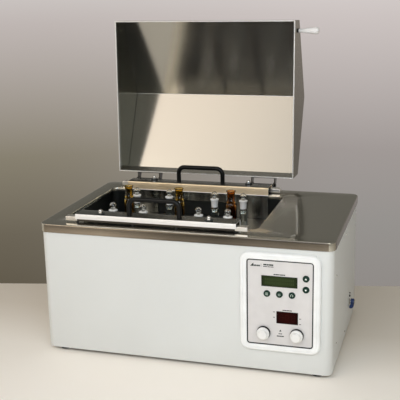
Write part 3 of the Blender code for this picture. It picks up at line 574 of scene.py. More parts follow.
# Near-white steel for the hinges' rounded edges: a painted highlight
HINGE_EDGE_HIGHLIGHT = plain_steel("zinc_plate_edge", (0.96, 0.95, 0.92), 0.45)
PAINT = painted("white_powder_coat", (0.705, 0.725, 0.71), 0.42)
BEZEL = plastic("white_moulding", (0.90, 0.915, 0.91), 0.34, 0.000012, coat=0.25)
PANEL = plastic("grey_overlay", (0.69, 0.675, 0.665), 0.55, 0.00002, 2600.0)
GASKET = plastic("dark_gasket", (0.022, 0.027, 0.027), 0.6)
BLACK = plastic("black_nylon", (0.0040, 0.0046, 0.0046), 0.32, 0.00001, specular=0.22)
RUBBER = plastic("black_rubber", (0.018, 0.018, 0.018), 0.75, 0.00005, 900.0)
WHITE = plastic("white_knob", (0.83, 0.83, 0.81), 0.30, 0.000008, coat=0.3)
GRIP_WHITE = plastic("white_grip", (0.96, 0.955, 0.945), 0.42, 0.000008, coat=0.1)
GREEN = plastic("green_key", (0.004, 0.028, 0.017), 0.5, 0.00002, specular=0.25)
PRINT_DARK = plastic("dark_print", (0.012, 0.026, 0.020), 0.5)
PRINT_PALE = plastic("pale_print", (0.60, 0.70, 0.62), 0.5)
PRINT_WHITE = plastic("white_print", (0.88, 0.92, 0.88), 0.45)
SURROUND = plastic("display_surround", (0.012, 0.015, 0.012), 0.5)
UNLIT = plastic("unlit_segment", (0.028, 0.0024, 0.0016), 0.5, specular=0.05)
BLANK = plastic("blank_cell", (0.034, 0.051, 0.017), 0.5, specular=0.08)
BLUE = plastic("blue_lever", (0.005, 0.028, 0.12), 0.35, coat=0.1)
COLLAR = plastic("dark_collar", (0.008, 0.008, 0.009), 0.55, specular=0.2)
# Near-black beads along the lid's seams: painted shade of the gap between end plates and sheet
SEAM_PAINTED_SHADE = plastic("seam_sealant", (0.03, 0.03, 0.025), 0.6)
BOARD = plastic("board_laminate", (0.015, 0.12, 0.05), 0.35, coat=0.3)
WOOL = plastic("glass_wool", (0.62, 0.52, 0.24), 0.95, 0.0015, 700.0)
SILICONE = plastic("orange_silicone", (0.50, 0.12, 0.035), 0.55, 0.0002, 500.0)
CLEAR = glass("clear_glass", (0.93, 0.96, 0.95), 0.0, 0.03)
AIR = glass("air_bubble", (1.0, 1.0, 1.0), ior=1 / 1.47)
GROUND = glass("ground_glass", (0.97, 0.98, 0.97), 0.32, 0.14, clear=0.12)
# Below the neck the amber is painted darker as the shade inside the tank
AMBER = glass("amber_glass", (0.82, 0.60, 0.16), 0.02, 0.04, below=(0.28, 0.16, 0.025))
AMBER_RED = glass("red_amber_glass", (0.72, 0.36, 0.09), 0.02, 0.04, below=(0.19, 0.055, 0.010))
DISPLAYS = {
    "lcd_window": window_glass("green_display", (0.031, 0.046, 0.016), (0.008, 0.012, 0.006), (0.020, 0.031, 0.011)),
    "led_window": window_glass("red_display", (0.022, 0.0016, 0.001), (0.004, 0.0008, 0.0006), (0.012, 0.0012, 0.0008)),
}


# Cabinet


def bend_steps(radius, *degrees):
    """How far points on a rounded edge lie from the flat face, and from the edge's outside."""
    angles = [math.radians(step) for step in degrees]
    return [(radius * (1 - math.sin(a)), radius * (1 - math.cos(a))) for a in angles]


def cabinet_shell():
    low, high = span("housing", "z")
    width, depth = size("housing", "x"), size("housing", "y")
    centre = middle("housing")

    def ring_at(inset, z):
        radius = max(HOUSING_CORNER - inset, 0.002)
        return level(rounded(width - 2 * inset, depth - 2 * inset, radius, 14), z, centre)

    profile = ((0, high), (0, low + 0.0018), (0.0005, low + 0.0006), (0.0018, low), (HOUSING_FLANGE, low),
               (HOUSING_FLANGE, low + HOUSING_SHEET), (HOUSING_SHEET, low + HOUSING_SHEET), (HOUSING_SHEET, high))
    shell = loft([ring_at(*point) for point in profile], ring=True)
    obj = piece("cabinet_shell", shell, PAINT, stands_for=["housing"])
    panel = middle("panel_plate")
    hole = rounded(size("panel_plate", "x") - 0.004, size("panel_plate", "z") - 0.004, 0.004)
    window = extruded(hole, FRONT_WALL - 0.01, FRONT_WALL + 0.01, "Y")
    valve, inlet = middle("drain_valve"), middle("mains_inlet")
    half_w, half_h = size("mains_inlet", "x") / 2 - 0.002, size("mains_inlet", "z") / 2 - 0.002
    parts = [
        moved(window, (panel.x, 0, panel.z)),
        moved(pin_shape(0.0060, 0.02), (SIDE_WALL, valve.y, valve.z), ("Y", 90)),
        box(
            (inlet.x - half_w, BACK_WALL - 0.01, inlet.z - half_h),
            (inlet.x + half_w, BACK_WALL + 0.01, inlet.z + half_h),
        ),
    ]
    for i in range(8):
        vent = extruded(rounded(0.004, 0.060, 0.0019, 5), BACK_WALL - 0.01, BACK_WALL + 0.01, "Y")
        parts.append(moved(vent, (DECK_MIDDLE.x + 0.177 + 0.012 * i, 0, DECK_TOP - 0.080)))
    cut(obj, joined(*parts))


def deck_plate():
    width, depth = size("top_deck", "x"), size("top_deck", "y")
    rim_low = span("top_deck", "z")[0]
    tank = middle("tank")
    lip = DECK_SHEET + 0.0004 + TANK_FLANGE
    open_w, open_d = size("tank", "x") - 2 * lip, size("tank", "y") - 2 * lip

    def outer(inset, z):
        radius = max(DECK_CORNER - inset, 0.002)
        return level(rounded(width - 2 * inset, depth - 2 * inset, radius, 14), z, DECK_MIDDLE)

    def opening(grow, z):
        return level(rounded(open_w + 2 * grow, open_d + 2 * grow, OPENING_CORNER + grow, 14), z, tank)

    top, under = DECK_TOP, DECK_TOP - DECK_SHEET
    bend = 0.0022
    loops = [opening(bend * 0.75, top)]
    loops += [outer(inset, top - down) for inset, down in bend_steps(bend, 0, 22, 45, 68, 90)]
    loops += [
        outer(0, rim_low + 0.0003),
        outer(0.0003, rim_low),
        outer(DECK_SHEET, rim_low),
        outer(DECK_SHEET, under),
        opening(DECK_SHEET, under),
        opening(DECK_SHEET, top - OPENING_LIP),
        opening(0, top - OPENING_LIP),
        opening(0, top - 0.0016),
        opening(0.0005, top - 0.0005),
    ]
    obj = piece("deck_plate", loft(loops, ring=True), STEEL, stands_for=["top_deck"])

    def on_rim(face):
        offset = face.center - DECK_MIDDLE
        return abs(offset.x) > width / 2 - 0.001 or abs(offset.y) > depth / 2 - 0.001

    # The rim's faces get the painted reflection
    coat_faces(obj, RIM_PAINTED_REFLECTION, on_rim)


def tank_shell():
    low, high = span("tank", "z")
    centre = middle("tank")
    width, depth = size("tank", "x") - 2 * TANK_FLANGE, size("tank", "y") - 2 * TANK_FLANGE
    corner = OPENING_CORNER + DECK_SHEET + 0.0004

    def ring_at(grow, z):
        return level(rounded(width + 2 * grow, depth + 2 * grow, corner + grow, 12), z, centre)

    floor, outside = low + TANK_SHEET, TANK_BEND + TANK_SHEET
    loops = [ring_at(-inset, floor + up) for inset, up in bend_steps(TANK_BEND, 0, 18, 36, 54, 72, 90)]
    loops += [ring_at(0, high), ring_at(TANK_FLANGE, high), ring_at(TANK_FLANGE, high - TANK_SHEET)]
    loops.append(ring_at(TANK_SHEET, high - TANK_SHEET))
    loops += [ring_at(TANK_SHEET - inset, low + up) for inset, up in bend_steps(outside, 90, 60, 30, 0)]
    obj = piece("tank_shell", loft(loops), TANK_PAINTED_SHADE, stands_for=["tank"], grain=(0, 0, 1))
    pipe_x, pipe_y = span("drain_pipe", "x")[0] + 0.0075, middle("drain_pipe").y
    cut(obj, moved(pin_shape(0.006, 0.01), (pipe_x, pipe_y, floor)))
    strainer = [(0.0045, 0.0), (0.0062, 0.0), (0.0078, 0.0006), (0.0074, 0.0012), (0.0050, 0.0010), (0.0045, 0.0004)]
    piece("drain_ring", moved(turned(strainer, ring=True), (pipe_x, pipe_y, floor + 0.0001)), BRIGHT)


def feet():
    for corner in ("front_left", "front_right", "rear_left", "rear_right"):
        node = "foot_" + corner
        centre, top = middle(node), span(node, "z")[1] - 0.009
        profile = [(0, 0.0012), (0.0060, 0.0012), (0.0066, 0.0), (0.0100, 0.0), (0.0108, 0.0004), (0.0112, 0.0012)]
        profile += [(0.0122, top - 0.0008), (0.0118, top), (0.003, top), (0.003, top + 0.0085), (0.0024, top + 0.009)]
        profile += [(0, top + 0.009)]
        piece(node + "_pad", turned(profile), RUBBER, stands_for=[node], place=Vector((centre.x, centre.y, 0)))


def facing(axis, point):
    """A placement at a point whose Z looks along +X, -X, +Y, -Y or -Z."""
    turns = {"+X": ("Y", 90), "-X": ("Y", -90), "+Y": ("X", -90), "-Y": ("X", 90), "-Z": ("X", 180)}
    about, angle = turns[axis]
    return Matrix.Translation(point) @ Matrix.Rotation(math.radians(angle), 4, about)


def screw(name, place, radius=0.0028, body="cabinet"):
    """Pan-head screw with a cross recess, whose axis is the place's Z."""
    height = radius * 0.62
    shape = ((0, 1), (0.45, 0.97), (0.8, 0.75), (0.97, 0.35), (1, 0), (0, 0))
    profile = [(radius * u, height * v) for u, v in shape]
    obj = piece(name, turned(profile, 28), BRIGHT, body, place=place)
    arm, half = radius * 0.52, radius * 0.12
    for u, v in ((arm, half), (half, arm)):
        slot = box((-u, -v, height * 0.35), (u, v, height * 2))
        bmesh.ops.transform(slot, matrix=place, verts=slot.verts)
        cut(obj, slot)


# Screws of the cabinet: direction, wall, head radius, and places on the wall from the deck's middle and top
SCREWS = {
    "right": ("+X", SIDE_WALL, 0.0022, ((0.0009, -0.039), (-0.1445, -0.078), (-0.133, -0.221), (0.002, -0.253))),
    "left": ("-X", span("housing", "x")[0], 0.0022,
             ((-0.150, -0.050), (0.150, -0.050), (-0.150, -0.235), (0.150, -0.235))),
    "back": ("+Y", BACK_WALL, 0.0026,
             ((-0.270, -0.235), (0.0, -0.235), (0.270, -0.235), (-0.270, -0.045), (0.270, -0.030))),
}


def cabinet_screws():
    for wall, (axis, face, radius, places) in SCREWS.items():
        face += math.copysign(0.0001, face)
        for i, (along, z) in enumerate(places, start=1):
            x, y = (DECK_MIDDLE.x + along, face) if axis == "+Y" else (face, DECK_MIDDLE.y + along)
            screw(f"{wall}_screw_{i}", facing(axis, (x, y, DECK_TOP + z)), radius)


def mains_inlet():
    node = "mains_inlet"
    centre = middle(node)
    width, height = size(node, "x"), size(node, "z")
    loops = [
        upright(rounded(w, h, radius, 5), BACK_WALL + y, centre)
        for w, h, radius, y in (
            (0.0245, 0.0170, 0.003, -0.014),
            (0.0245, 0.0170, 0.003, 0.0024),
            (0.0257, 0.0182, 0.0036, 0.0030),
            (width - 0.0012, height - 0.0012, 0.003, 0.0030),
            (width, height, 0.003, 0.0024),
            (width, height, 0.003, GAP),
            (width - 0.005, height - 0.005, 0.002, GAP),
            (width - 0.005, height - 0.005, 0.002, -0.020),
        )
    ]
    piece("mains_inlet_body", loft(loops), BLACK, stands_for=[node])
    for i, (x, z) in enumerate(((-0.007, -0.002), (0.0, 0.002), (0.007, -0.002)), start=1):
        pin = extruded(rounded(0.0020, 0.0045, 0.0008, 3), BACK_WALL - 0.0138, BACK_WALL - 0.001, "Y")
        piece(f"inlet_pin_{i}", moved(pin, (centre.x + x, 0, centre.z + z)), BRIGHT, bevel=0.0003)
    for side, sign in (("left", -1), ("right", 1)):
        point = (centre.x + sign * (width / 2 - 0.0058), BACK_WALL + 0.0031, centre.z)
        screw(f"inlet_screw_{side}", facing("+Y", point), 0.0024)


# Control panel


def bezel():
    node = "control_bezel"
    centre = middle(node)
    width, height = size(node, "x"), size(node, "z")
    front, back = span(node, "y")
    inner_w, inner_h = size("panel_plate", "x"), size("panel_plate", "z")

    def outer(inset, y):
        return upright(rounded(width - 2 * inset, height - 2 * inset, BEZEL_CORNER - inset, 12), y, centre)

    def inner(grow, y):
        return upright(rounded(inner_w + 2 * grow, inner_h + 2 * grow, 0.005 + grow, 12), y, centre)

    bend, gap = 0.0052, GAP + 0.0007
    loops = [outer(0, back)]
    loops += [outer(inset, front + back_off) for back_off, inset in bend_steps(bend, 0, 15, 30, 45, 60, 75, 90)]
    groove = ((0.0006, 0), (0.0009, 0.0010), (0.0020, 0.0010), (0.0023, 0))
    loops += [outer(bend + inset, front + depth) for inset, depth in groove]
    loops += [inner(gap + grow, front + back_off) for back_off, grow in bend_steps(0.0020, 90, 60, 30, 0)]
    loops.append(inner(gap, back))
    piece("bezel_frame", loft(loops, ring=True), BEZEL, stands_for=[node], angle=50)
    near, far = PANEL_FRONT - 0.0006, PANEL_FRONT - 0.0001
    seal = ((-0.0013, far), (-0.0011, near), (GAP + 0.0006, near), (GAP + 0.0006, back), (GAP, back), (GAP, far))
    piece("bezel_gasket", loft([inner(*point) for point in seal], ring=True), GASKET)


def panel_face():
    node = "panel_plate"
    low, high = span(node, "y")
    centre = middle(node)
    plate = extruded(rounded(size(node, "x"), size(node, "z"), 0.0048, 8), low, high, "Y")
    obj = piece("panel_face", moved(plate, (centre.x, 0, centre.z)), PANEL, stands_for=[node])
    parts = []
    for window in DISPLAYS:
        spot = middle(window)
        shape = rounded(size(window, "x") + 0.0004, size(window, "z") + 0.0004, 0.0008, 3)
        parts.append(moved(extruded(shape, low - 0.01, high + 0.01, "Y"), (spot.x, 0, spot.z)))
    for names, radius in ((BUTTON_NAMES, 0.00665), (KNOB_NAMES, 0.0038)):
        for name in names:
            spot = middle(name)
            parts.append(moved(pin_shape(radius, 0.02), (spot.x, low, spot.z), ("X", 90)))
    cut(obj, joined(*parts))


def plate_marks(name, shapes, look, y, body="cabinet", thickness=0.00012):
    """Printed marks: thin flat shapes, each an (x, z) outline, on a face at y that looks to -Y."""
    parts = [extruded(outline, y - thickness, y - 0.00001, "Y") for outline in shapes]
    piece(name, joined(*parts), look, body)


def bar(x, z, width, height):
    right, top = width / 2, height / 2
    return [(x - right, z - top), (x + right, z - top), (x + right, z + top), (x - right, z + top)]


def ring_arc(x, z, start, end, steps=18, radius=0.0027, width=0.0007):
    angles = [math.radians(start + (end - start) * i / steps) for i in range(steps + 1)]
    outer = [(x + radius * math.cos(a), z + radius * math.sin(a)) for a in angles]
    inner = [(x + (radius - width) * math.cos(a), z + (radius - width) * math.sin(a)) for a in reversed(angles)]
    return outer + inner


def dashes(x, z, widths, height=0.0013, space=0.0007):
    """A row of short bars centred on x, in place of lettering."""
    left, shapes = x - (sum(widths) + space * (len(widths) - 1)) / 2, []
    for width in widths:
        shapes.append(bar(left + width / 2, z, width, height))
        left += width + space
    return shapes


def panel_print():
    lcd, led = middle("lcd_window"), middle("led_window")
    lcd_top, led_top = span("lcd_window", "z")[1], span("led_window", "z")[1]
    marks = dashes(lcd.x, lcd_top + 0.0032, (0.0030, 0.0050, 0.0026, 0.0060, 0.0034), 0.0021, 0.0005)
    marks += dashes(led.x, led_top + 0.0030, (0.0028, 0.0046, 0.0052, 0.0034), 0.0019, 0.0005)
    left, right = span("led_window", "x")
    for x, widths, heights in (
        (left - 0.0045, (0.0014, 0.0020), (0.0105, -0.0005)),
        (right + 0.0042, (0.0020, 0.0012), (0.0005, -0.0105)),
    ):
        for z in heights:
            marks += dashes(x, led.z + z, widths, space=0.0004)
    x, z = (middle("left_knob").x + middle("right_knob").x) / 2, middle("left_knob").z
    marks.append([(x - 0.0024, z + 0.0042), (x + 0.0024, z + 0.0042), (x, z + 0.0082)])
    marks += dashes(x, z - 0.0005, (0.0024, 0.0034), 0.0018, 0.0008)
    marks += dashes(x, z - 0.0055, (0.0044, 0.0034, 0.0048), 0.0022, 0.0005)
    x, z = span("panel_plate", "x")[0] + 0.006, span("panel_plate", "z")[1] - 0.0105
    marks.append([(x, z - 0.0026), (x + 0.0075, z - 0.0026), (x + 0.0062, z + 0.0040)])
    marks += dashes(x + 0.0135, z - 0.0011, (0.0040, 0.0028, 0.0034), 0.0030, 0.0005)
    marks.append(bar(x + 0.0212, z, 0.0005, 0.0062))
    marks += dashes(x + 0.0352, z + 0.0016, (0.0062, 0.0034, 0.0084), 0.0028, 0.0006)
    marks += dashes(x + 0.0352, z - 0.0022, (0.0080, 0.0048, 0.0058), 0.0014, 0.0006)
    plate_marks("panel_marks", marks, PRINT_DARK, PANEL_FRONT)


def displays():
    for node, look in DISPLAYS.items():
        piece(node + "_cover", box(*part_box(node)), look, stands_for=[node], bevel=0.0004)
        spot, width, height = middle(node), size(node, "x"), size(node, "z")
        front = span(node, "y")[0]
        outer = rounded(width, height, 0.0006, 3)
        inner = rounded(width - 0.0016, height - 0.0016, 0.0004, 3)
        corners = ((outer, 0.0001), (outer, 0.0003), (inner, 0.0003), (inner, 0.0001))
        loops = [upright(outline, front - proud, spot) for outline, proud in corners]
        piece(node + "_surround", loft(loops, ring=True), SURROUND)
    digits(middle("led_window"), span("led_window", "y")[0])
    cells(middle("lcd_window"), span("lcd_window", "y")[0])


def digits(centre, front):
    """Three unlit seven-segment digits behind the red window."""
    long, thin, tall = 0.0050, 0.0009, 0.0056
    shapes = []
    for digit in (-1, 0, 1):
        x = centre.x + digit * 0.0112
        shapes += [bar(x, centre.z + z, long, thin) for z in (-tall, 0, tall)]
        for side in (-1, 1):
            for z in (-tall / 2, tall / 2):
                shapes.append(bar(x + side * (long / 2 + 0.0006), centre.z + z, thin, tall - 0.0012))
    plate_marks("led_digits", shapes, UNLIT, front - 0.00002, thickness=0.00008)


def cells(centre, front):
    """Two rows of faint blank character cells in the green window."""
    shapes = [
        bar(centre.x + (column - 7.5) * 0.00355, centre.z + row * 0.0033, 0.0029, 0.0052)
        for row in (-1, 1)
        for column in range(16)
    ]
    plate_marks("lcd_cells", shapes, BLANK, front - 0.00002, thickness=0.00006)


def key_symbol(name, x, z):
    if name in ("up_button", "down_button"):
        up = 1 if name == "up_button" else -1
        return [[(x - 0.0022, z - up * 0.0014), (x + 0.0022, z - up * 0.0014), (x, z + up * 0.0022)]]
    if name == "menu_button":
        return [bar(x, z + step * 0.0019, 0.0052, 0.0008) for step in (-1, 0, 1)]
    if name == "select_button":
        return [ring_arc(x, z, 45 + 90 * k, 135 + 90 * k, 1) for k in range(4)]
    arrow = [(x + 0.0012, z - 0.0022), (x + 0.0031, z - 0.0010), (x + 0.0012, z + 0.0001)]
    return [ring_arc(x, z, -50, 230), arrow]


def buttons():
    radius, front = BUTTON_RADIUS, BUTTON_PROUD
    for name in BUTTON_NAMES:
        spot, back = middle(name), front - size(name, "y")
        profile = [(0, front - 0.0003), (radius * 0.55, front - 0.0002), (radius - 0.0013, front)]
        profile += arc(radius - 0.0011, front - 0.0011, 0.0011, 90, 0, 6)
        profile += [(radius, back + 0.001), (radius + 0.0012, back + 0.001), (radius + 0.0012, back), (0, back)]
        body, place = name + "_cap", facing("-Y", (spot.x, PANEL_FRONT, spot.z))
        piece(name + "_key", turned(profile), GREEN, body, [name], place)
        look = PRINT_WHITE if name in ("up_button", "down_button") else PRINT_PALE
        symbol = name.replace("_button", "_symbol")
        plate_marks(symbol, key_symbol(name, spot.x, spot.z), look, PANEL_FRONT - front + 0.0001, body, 0.00018)


def knobs():
    for name in KNOB_NAMES:
        spot, base = middle(name), PANEL_FRONT - 0.0012
        depth = base - span(name, "y")[0]
        skirt, face = 0.0123, 0.0088
        profile = [(0, depth)] + arc(face - 0.0013, depth - 0.0013, 0.0013, 90, 0, 6)
        profile += [(face + 0.0003, 0.0104), (face + 0.0010, 0.0095)]
        profile += arc(skirt - 0.0012, 0.0078, 0.0012, 90, 0, 6) + [(skirt, 0.0055), (skirt - 0.0003, 0.0051)]
        profile += [(0.0102, 0.0048), (0.0102, 0.0015), (0, 0.0015)]
        body, place = name + "_body", facing("-Y", (spot.x, base, spot.z))
        piece(name + "_cap", turned(profile, 64), WHITE, body, [name], place)
        # The dark collar, wider than the knob's skirt, is partly a real collar and partly a painted shadow crescent
        # behind the knob
        collar = [(0, -0.0160), (0.0030, -0.0160), (0.0032, -0.0156), (0.0032, 0.0001), (0.0128, 0.0001)]
        collar += [(0.0132, 0.0005), (0.0132, 0.0024), (0.0127, 0.0029), (0.0100, 0.0029), (0, 0.0014)]
        piece(name + "_collar", turned(collar), COLLAR, body, place=place)


# Drain


def drain():
    """The valve's ring, tube and lip, and the lever that turns round it. Z points out of the wall."""
    spot = Vector((SIDE_WALL, middle("drain_valve").y, middle("drain_valve").z))
    place = facing("+X", spot)
    reach = span("drain_valve", "x")[1] - SIDE_WALL
    profile = [(0.0030, -0.0060), (0.0080, -0.0060), (0.0080, -0.0015), (0.0055, -0.0015), (0.0055, 0.0003)]
    profile += [(0.0066, 0.0003), (0.0068, 0.0006), (0.0068, 0.0011), (0.0064, 0.0014), (0.0040, 0.0018)]
    profile += [(0.0040, reach - 0.0012), (0.0049, reach - 0.0009), (0.0049, reach - 0.0003), (0.0046, reach)]
    profile += [(0.0033, reach), (0.0030, reach - 0.0003)]
    piece("valve_body", turned(profile, ring=True), BRASS, stands_for=["drain_valve"], place=place)

    low, high, inner, outer = 0.0036, reach - 0.0014, 0.0043, 0.0066
    sleeve = [(inner, low), (outer - 0.0005, low), (outer, low + 0.0005), (outer, high - 0.0005)]
    sleeve += [(outer - 0.0005, high), (inner, high)]
    piece("lever_sleeve", turned(sleeve, ring=True), BLUE, "drain_lever_body", ["drain_lever"], place)
    tab = [(0.0050, low), (0.0050, high), (0.0085, high - 0.0005), (0.0125, high - 0.0016), (0.0148, 0.0068)]
    tab += [(0.0156, 0.0058), (0.0160, 0.0045), (0.0159, 0.0030), (0.0154, 0.0019), (0.0142, 0.0012)]
    tab += [(0.0125, 0.0010), (0.0105, 0.0013), (0.0080, 0.0022)]
    piece("lever_tab", extruded(tab, -0.0026, 0.0026, "Y"), BLUE, "drain_lever_body", place=place, bevel=0.0010)
    for name, height, radius in (("stop_pin", 0.0130, 0.0022), ("guide_pin", 0.0195, 0.0012)):
        pin = [(0, 0.0026), (radius - 0.0004, 0.0026), (radius, 0.0022), (radius, 0), (0, 0)]
        piece("valve_" + name, turned(pin, 20), COLLAR, place=facing("+X", spot + Vector((0.0001, 0, height))))


# Lid


LID_PLACE = Matrix.Translation(PIN) @ Matrix.Rotation(-LID_OPEN_ANGLE, 4, "X")
LID_LEFT, LID_RIGHT = (x - PIN.x for x in span("lid_shell", "x"))


def lid_point(from_rear, height):
    """(y, z) of the closed lid, seen from the hinge pins."""
    return LID_FROM_PIN.y - from_rear, LID_FROM_PIN.z + height


def lid():
    corners = ((0.0, 0.0), (0.0, LID_REAR_WALL), (LID_RIDGE_FROM_REAR, LID_RIDGE), (LID_LENGTH, LID_FRONT_WALL),
               (LID_LENGTH, 0.0))
    path = filleted([lid_point(*corner) for corner in corners], (0.0018, 0.0022, 0.0018))
    left, right = LID_LEFT + LID_SHEET + 0.00015, LID_RIGHT - LID_SHEET - 0.00015
    folded = extruded(sheet_outline(path, LID_SHEET), left, right)
    sheet = piece("lid_sheet", folded, LID_STEEL, "lid", ["lid_shell"], LID_PLACE, bevel=0.0003)
    ridge = LID_PLACE @ Vector((0, *lid_point(LID_RIDGE_FROM_REAR, LID_RIDGE)))

    # Faces of the ridge fold, which get a painted highlight line
    def on_fold_highlight(face):
        return math.hypot(face.center.y - ridge.y, face.center.z - ridge.z) < 0.0034 and face.area > 0.00001

    coat_faces(sheet, PAINTED_HIGHLIGHT_EDGE, on_fold_highlight)
    gable = [tuple(p) for p in path]
    rims = [sheet]
    for side, x in (("left", LID_LEFT), ("right", LID_RIGHT - LID_SHEET)):
        plate = extruded(gable, x, x + LID_SHEET)
        rims.append(
            piece(f"lid_end_{side}", plate, LID_END_PAINTED_SHADE, "lid", place=LID_PLACE, bevel=0.0003, grain=(0, 1, 0))
        )
    rims += lid_hems(left, right)
    mouth = (LID_PLACE.to_3x3() @ Vector((0, 0, -1))).normalized()
    for obj in rims:
        # The edges of the lid's mouth get the painted highlight
        coat_faces(obj, PAINTED_HIGHLIGHT_EDGE, lambda face: face.normal.dot(mouth) > 0.98)
    inward = Vector((0, *lid_point(LID_LENGTH / 2, 0.05)))
    # Beads painted near-black as the shade of the seam gap
    for side, x in (("left", left), ("right", right)):
        line = [Vector((0, *point)) for point in gable[1:-1]]
        line = [p + (inward - p).normalized() * LID_SHEET * 1.5 for p in line]
        line = [Vector((x, p.y, p.z)) for p in line]
        piece(f"lid_seam_{side}", joined(*beads(line)), SEAM_PAINTED_SHADE, "lid", place=LID_PLACE)


def lid_hems(left, right):
    """The folded-in strip along each edge of the lid's mouth."""
    low, hem = LID_FROM_PIN.z, 0.0011
    high = low + 0.009
    rear, front = lid_point(LID_SHEET, 0)[0], lid_point(LID_LENGTH - LID_SHEET, 0)[0]
    along, across = (1, 0, 0), (0, 1, 0)
    strips = {
        "rear": (along, (left, rear - hem), (right, rear - 0.0001)),
        "front": (along, (left, front + 0.0001), (right, front + hem)),
        "left": (across, (left, front + hem), (left + hem, rear - hem)),
        "right": (across, (right - hem, front + hem), (right, rear - hem)),
    }
    hems = []
    for side, (grain, start, end) in strips.items():
        strip = box((*start, low), (*end, high))
        hems.append(piece(f"lid_hem_{side}", strip, LID_STEEL, "lid", place=LID_PLACE, bevel=0.00035, grain=grain))
    return hems


def beads(line, radius=0.00085, length=0.0034, pitch=0.0056):
    """Short round-ended beads in a row along a path."""
    made, carried = [], 0.0
    tip, shoulder = radius * 0.7, radius * 0.3
    profile = [(0, 0), (tip, shoulder), (radius, radius), (radius, length - radius)]
    profile += [(tip, length - shoulder), (0, length)]
    for start, end in zip(line, line[1:]):
        along, far = (end - start).normalized(), (end - start).length
        turn = Vector((0, 0, 1)).rotation_difference(along).to_matrix().to_4x4()
        at = pitch - carried
        while at < far:
            bead = turned(profile, 6)
            place = Matrix.Translation(start + along * (at - length / 2)) @ turn
            bmesh.ops.transform(bead, matrix=place, verts=bead.verts)
            made.append(bead)
            at += pitch
        carried = (carried + far) % pitch
    return made


def lid_grip():
    node = "lid_knob"
    centre, length = middle(node), size(node, "x")
    place = facing("+X", (span(node, "x")[0], centre.y, centre.z))
    collar = [(0, 0), (0.0046, 0), (0.0048, 0.0004), (0.0048, 0.0013), (0.0044, 0.0017), (0, 0.0017)]
    piece("grip_collar", turned(collar), COLLAR, "lid", place=place)
    profile = [(0, 0.0018), (0.0037, 0.0019), (0.0040, 0.0026), (0.0041, 0.0060), (0.0047, 0.0120), (0.0056, 0.0190)]
    profile += [(0.0066, 0.0270), (0.0075, 0.0350), (0.0080, 0.0395), (0.00805, 0.0415), (0.0078, 0.0436)]
    profile += [(0.0070, 0.0455), (0.0055, length - 0.0013), (0.0036, length - 0.0004), (0.0016, length), (0, length)]
    piece("lid_grip", turned(profile), GRIP_WHITE, "lid", [node], place, angle=60)
    left, right = LID_LEFT + PIN.x + LID_SHEET, LID_RIGHT + PIN.x - LID_SHEET
    rivet = [(0, 0), (0.0028, 0), (0.0028, 0.0004), (0.0020, 0.0012), (0.0009, 0.0015), (0, 0.0015)]
    piece("lid_rivet_inside", turned(rivet), BRIGHT, "lid", place=facing("+X", (left, centre.y, centre.z)))
    screw("grip_screw", facing("-X", (right, centre.y, centre.z)), 0.0032, "lid")


def hinges():
    """The hinges keep their CAD shape, with rounded edges painted bright as a highlight, and get their screws."""
    back = span("top_deck", "y")[1] + GAP + 0.002
    for side in ("left", "right"):
        base, bracket, pin = f"hinge_base_{side}", f"lid_bracket_{side}", f"hinge_pin_{side}"
        for node in (base, bracket, pin):
            obj = frame["nodes"][node]
            obj.data.materials.clear()
            obj.data.materials.append(ZINC)
            obj.data.materials.append(HINGE_EDGE_HIGHLIGHT)
            # The bevel faces get the painted highlight
            round_edges(obj, 0.0006).material = 1
        x, low, under = middle(base).x, span(base, "z")[0], span(bracket, "z")[1] - 0.0023
        for mark, sign in (("a", -1), ("b", 1)):
            screw(f"{base}_screw_{mark}", facing("+Y", (x + sign * 0.012, back, low + 0.0065)))
            point = (x + sign * 0.0165, PIN.y + 0.0085, under)
            screw(f"{bracket}_screw_{mark}", facing("-Z", point), 0.0032, "lid")


# Rack


RACK_X, RACK_Y = middle("rack_rail_front").x, DECK_MIDDLE.y
RAIL_LEFT, RAIL_RIGHT = span("rack_rail_front", "x")
RAIL_LOW, RAIL_TOP = span("rack_rail_front", "z")
RAIL_OUTER, RAIL_INNER = (abs(RACK_Y - y) for y in span("rack_rail_front", "y"))


def rack():
    walls()
    for side, sign in SIDES.items():
        rail(side, sign)
        hanger(side, sign)
        handle(side)
        for end, along in (("left", -1), ("right", 1)):
            x = RACK_X + sign * 0.0025 + along * 0.1135
            acorn(f"{side}_{end}", Vector((x, RACK_Y + sign * (RAIL_OUTER - 0.0115), RAIL_TOP)))


def rail(side, sign):
    """Folded rail, open to the inside at its lower edge, which is rolled into a hem."""
    path = [(-RAIL_OUTER, RAIL_LOW + 0.0088), (-RAIL_OUTER, RAIL_TOP), (-RAIL_INNER, RAIL_TOP), (-RAIL_INNER, RAIL_LOW)]
    path = filleted(path, (0.0026, 0.0026))
    outline = [(RACK_Y - sign * u, v) for u, v in sheet_outline(path, -RACK_SHEET)]
    folded = extruded(outline, RAIL_LEFT, RAIL_RIGHT)
    obj = piece(f"rail_{side}", folded, RAIL_PAINTED_REFLECTION[side], "rack", [f"rack_rail_{side}"], bevel=0.0003)
    # The top faces get the painted dark reflection
    coat_faces(obj, RAIL_TOP_DARK_REFLECTION, lambda face: abs(face.normal.z) > 0.95)
    radius = 0.0011
    y, z = RACK_Y + sign * (RAIL_INNER + 0.0004), RAIL_LOW + radius
    angles = [math.tau * k / 16 for k in range(16)]
    hem = [(y + radius * math.cos(a), z + radius * math.sin(a)) for a in angles]
    # The hem's near-white steel is a painted highlight line
    piece(f"rail_hem_{side}", extruded(hem, RAIL_LEFT, RAIL_RIGHT), PAINTED_HIGHLIGHT_EDGE, "rack")


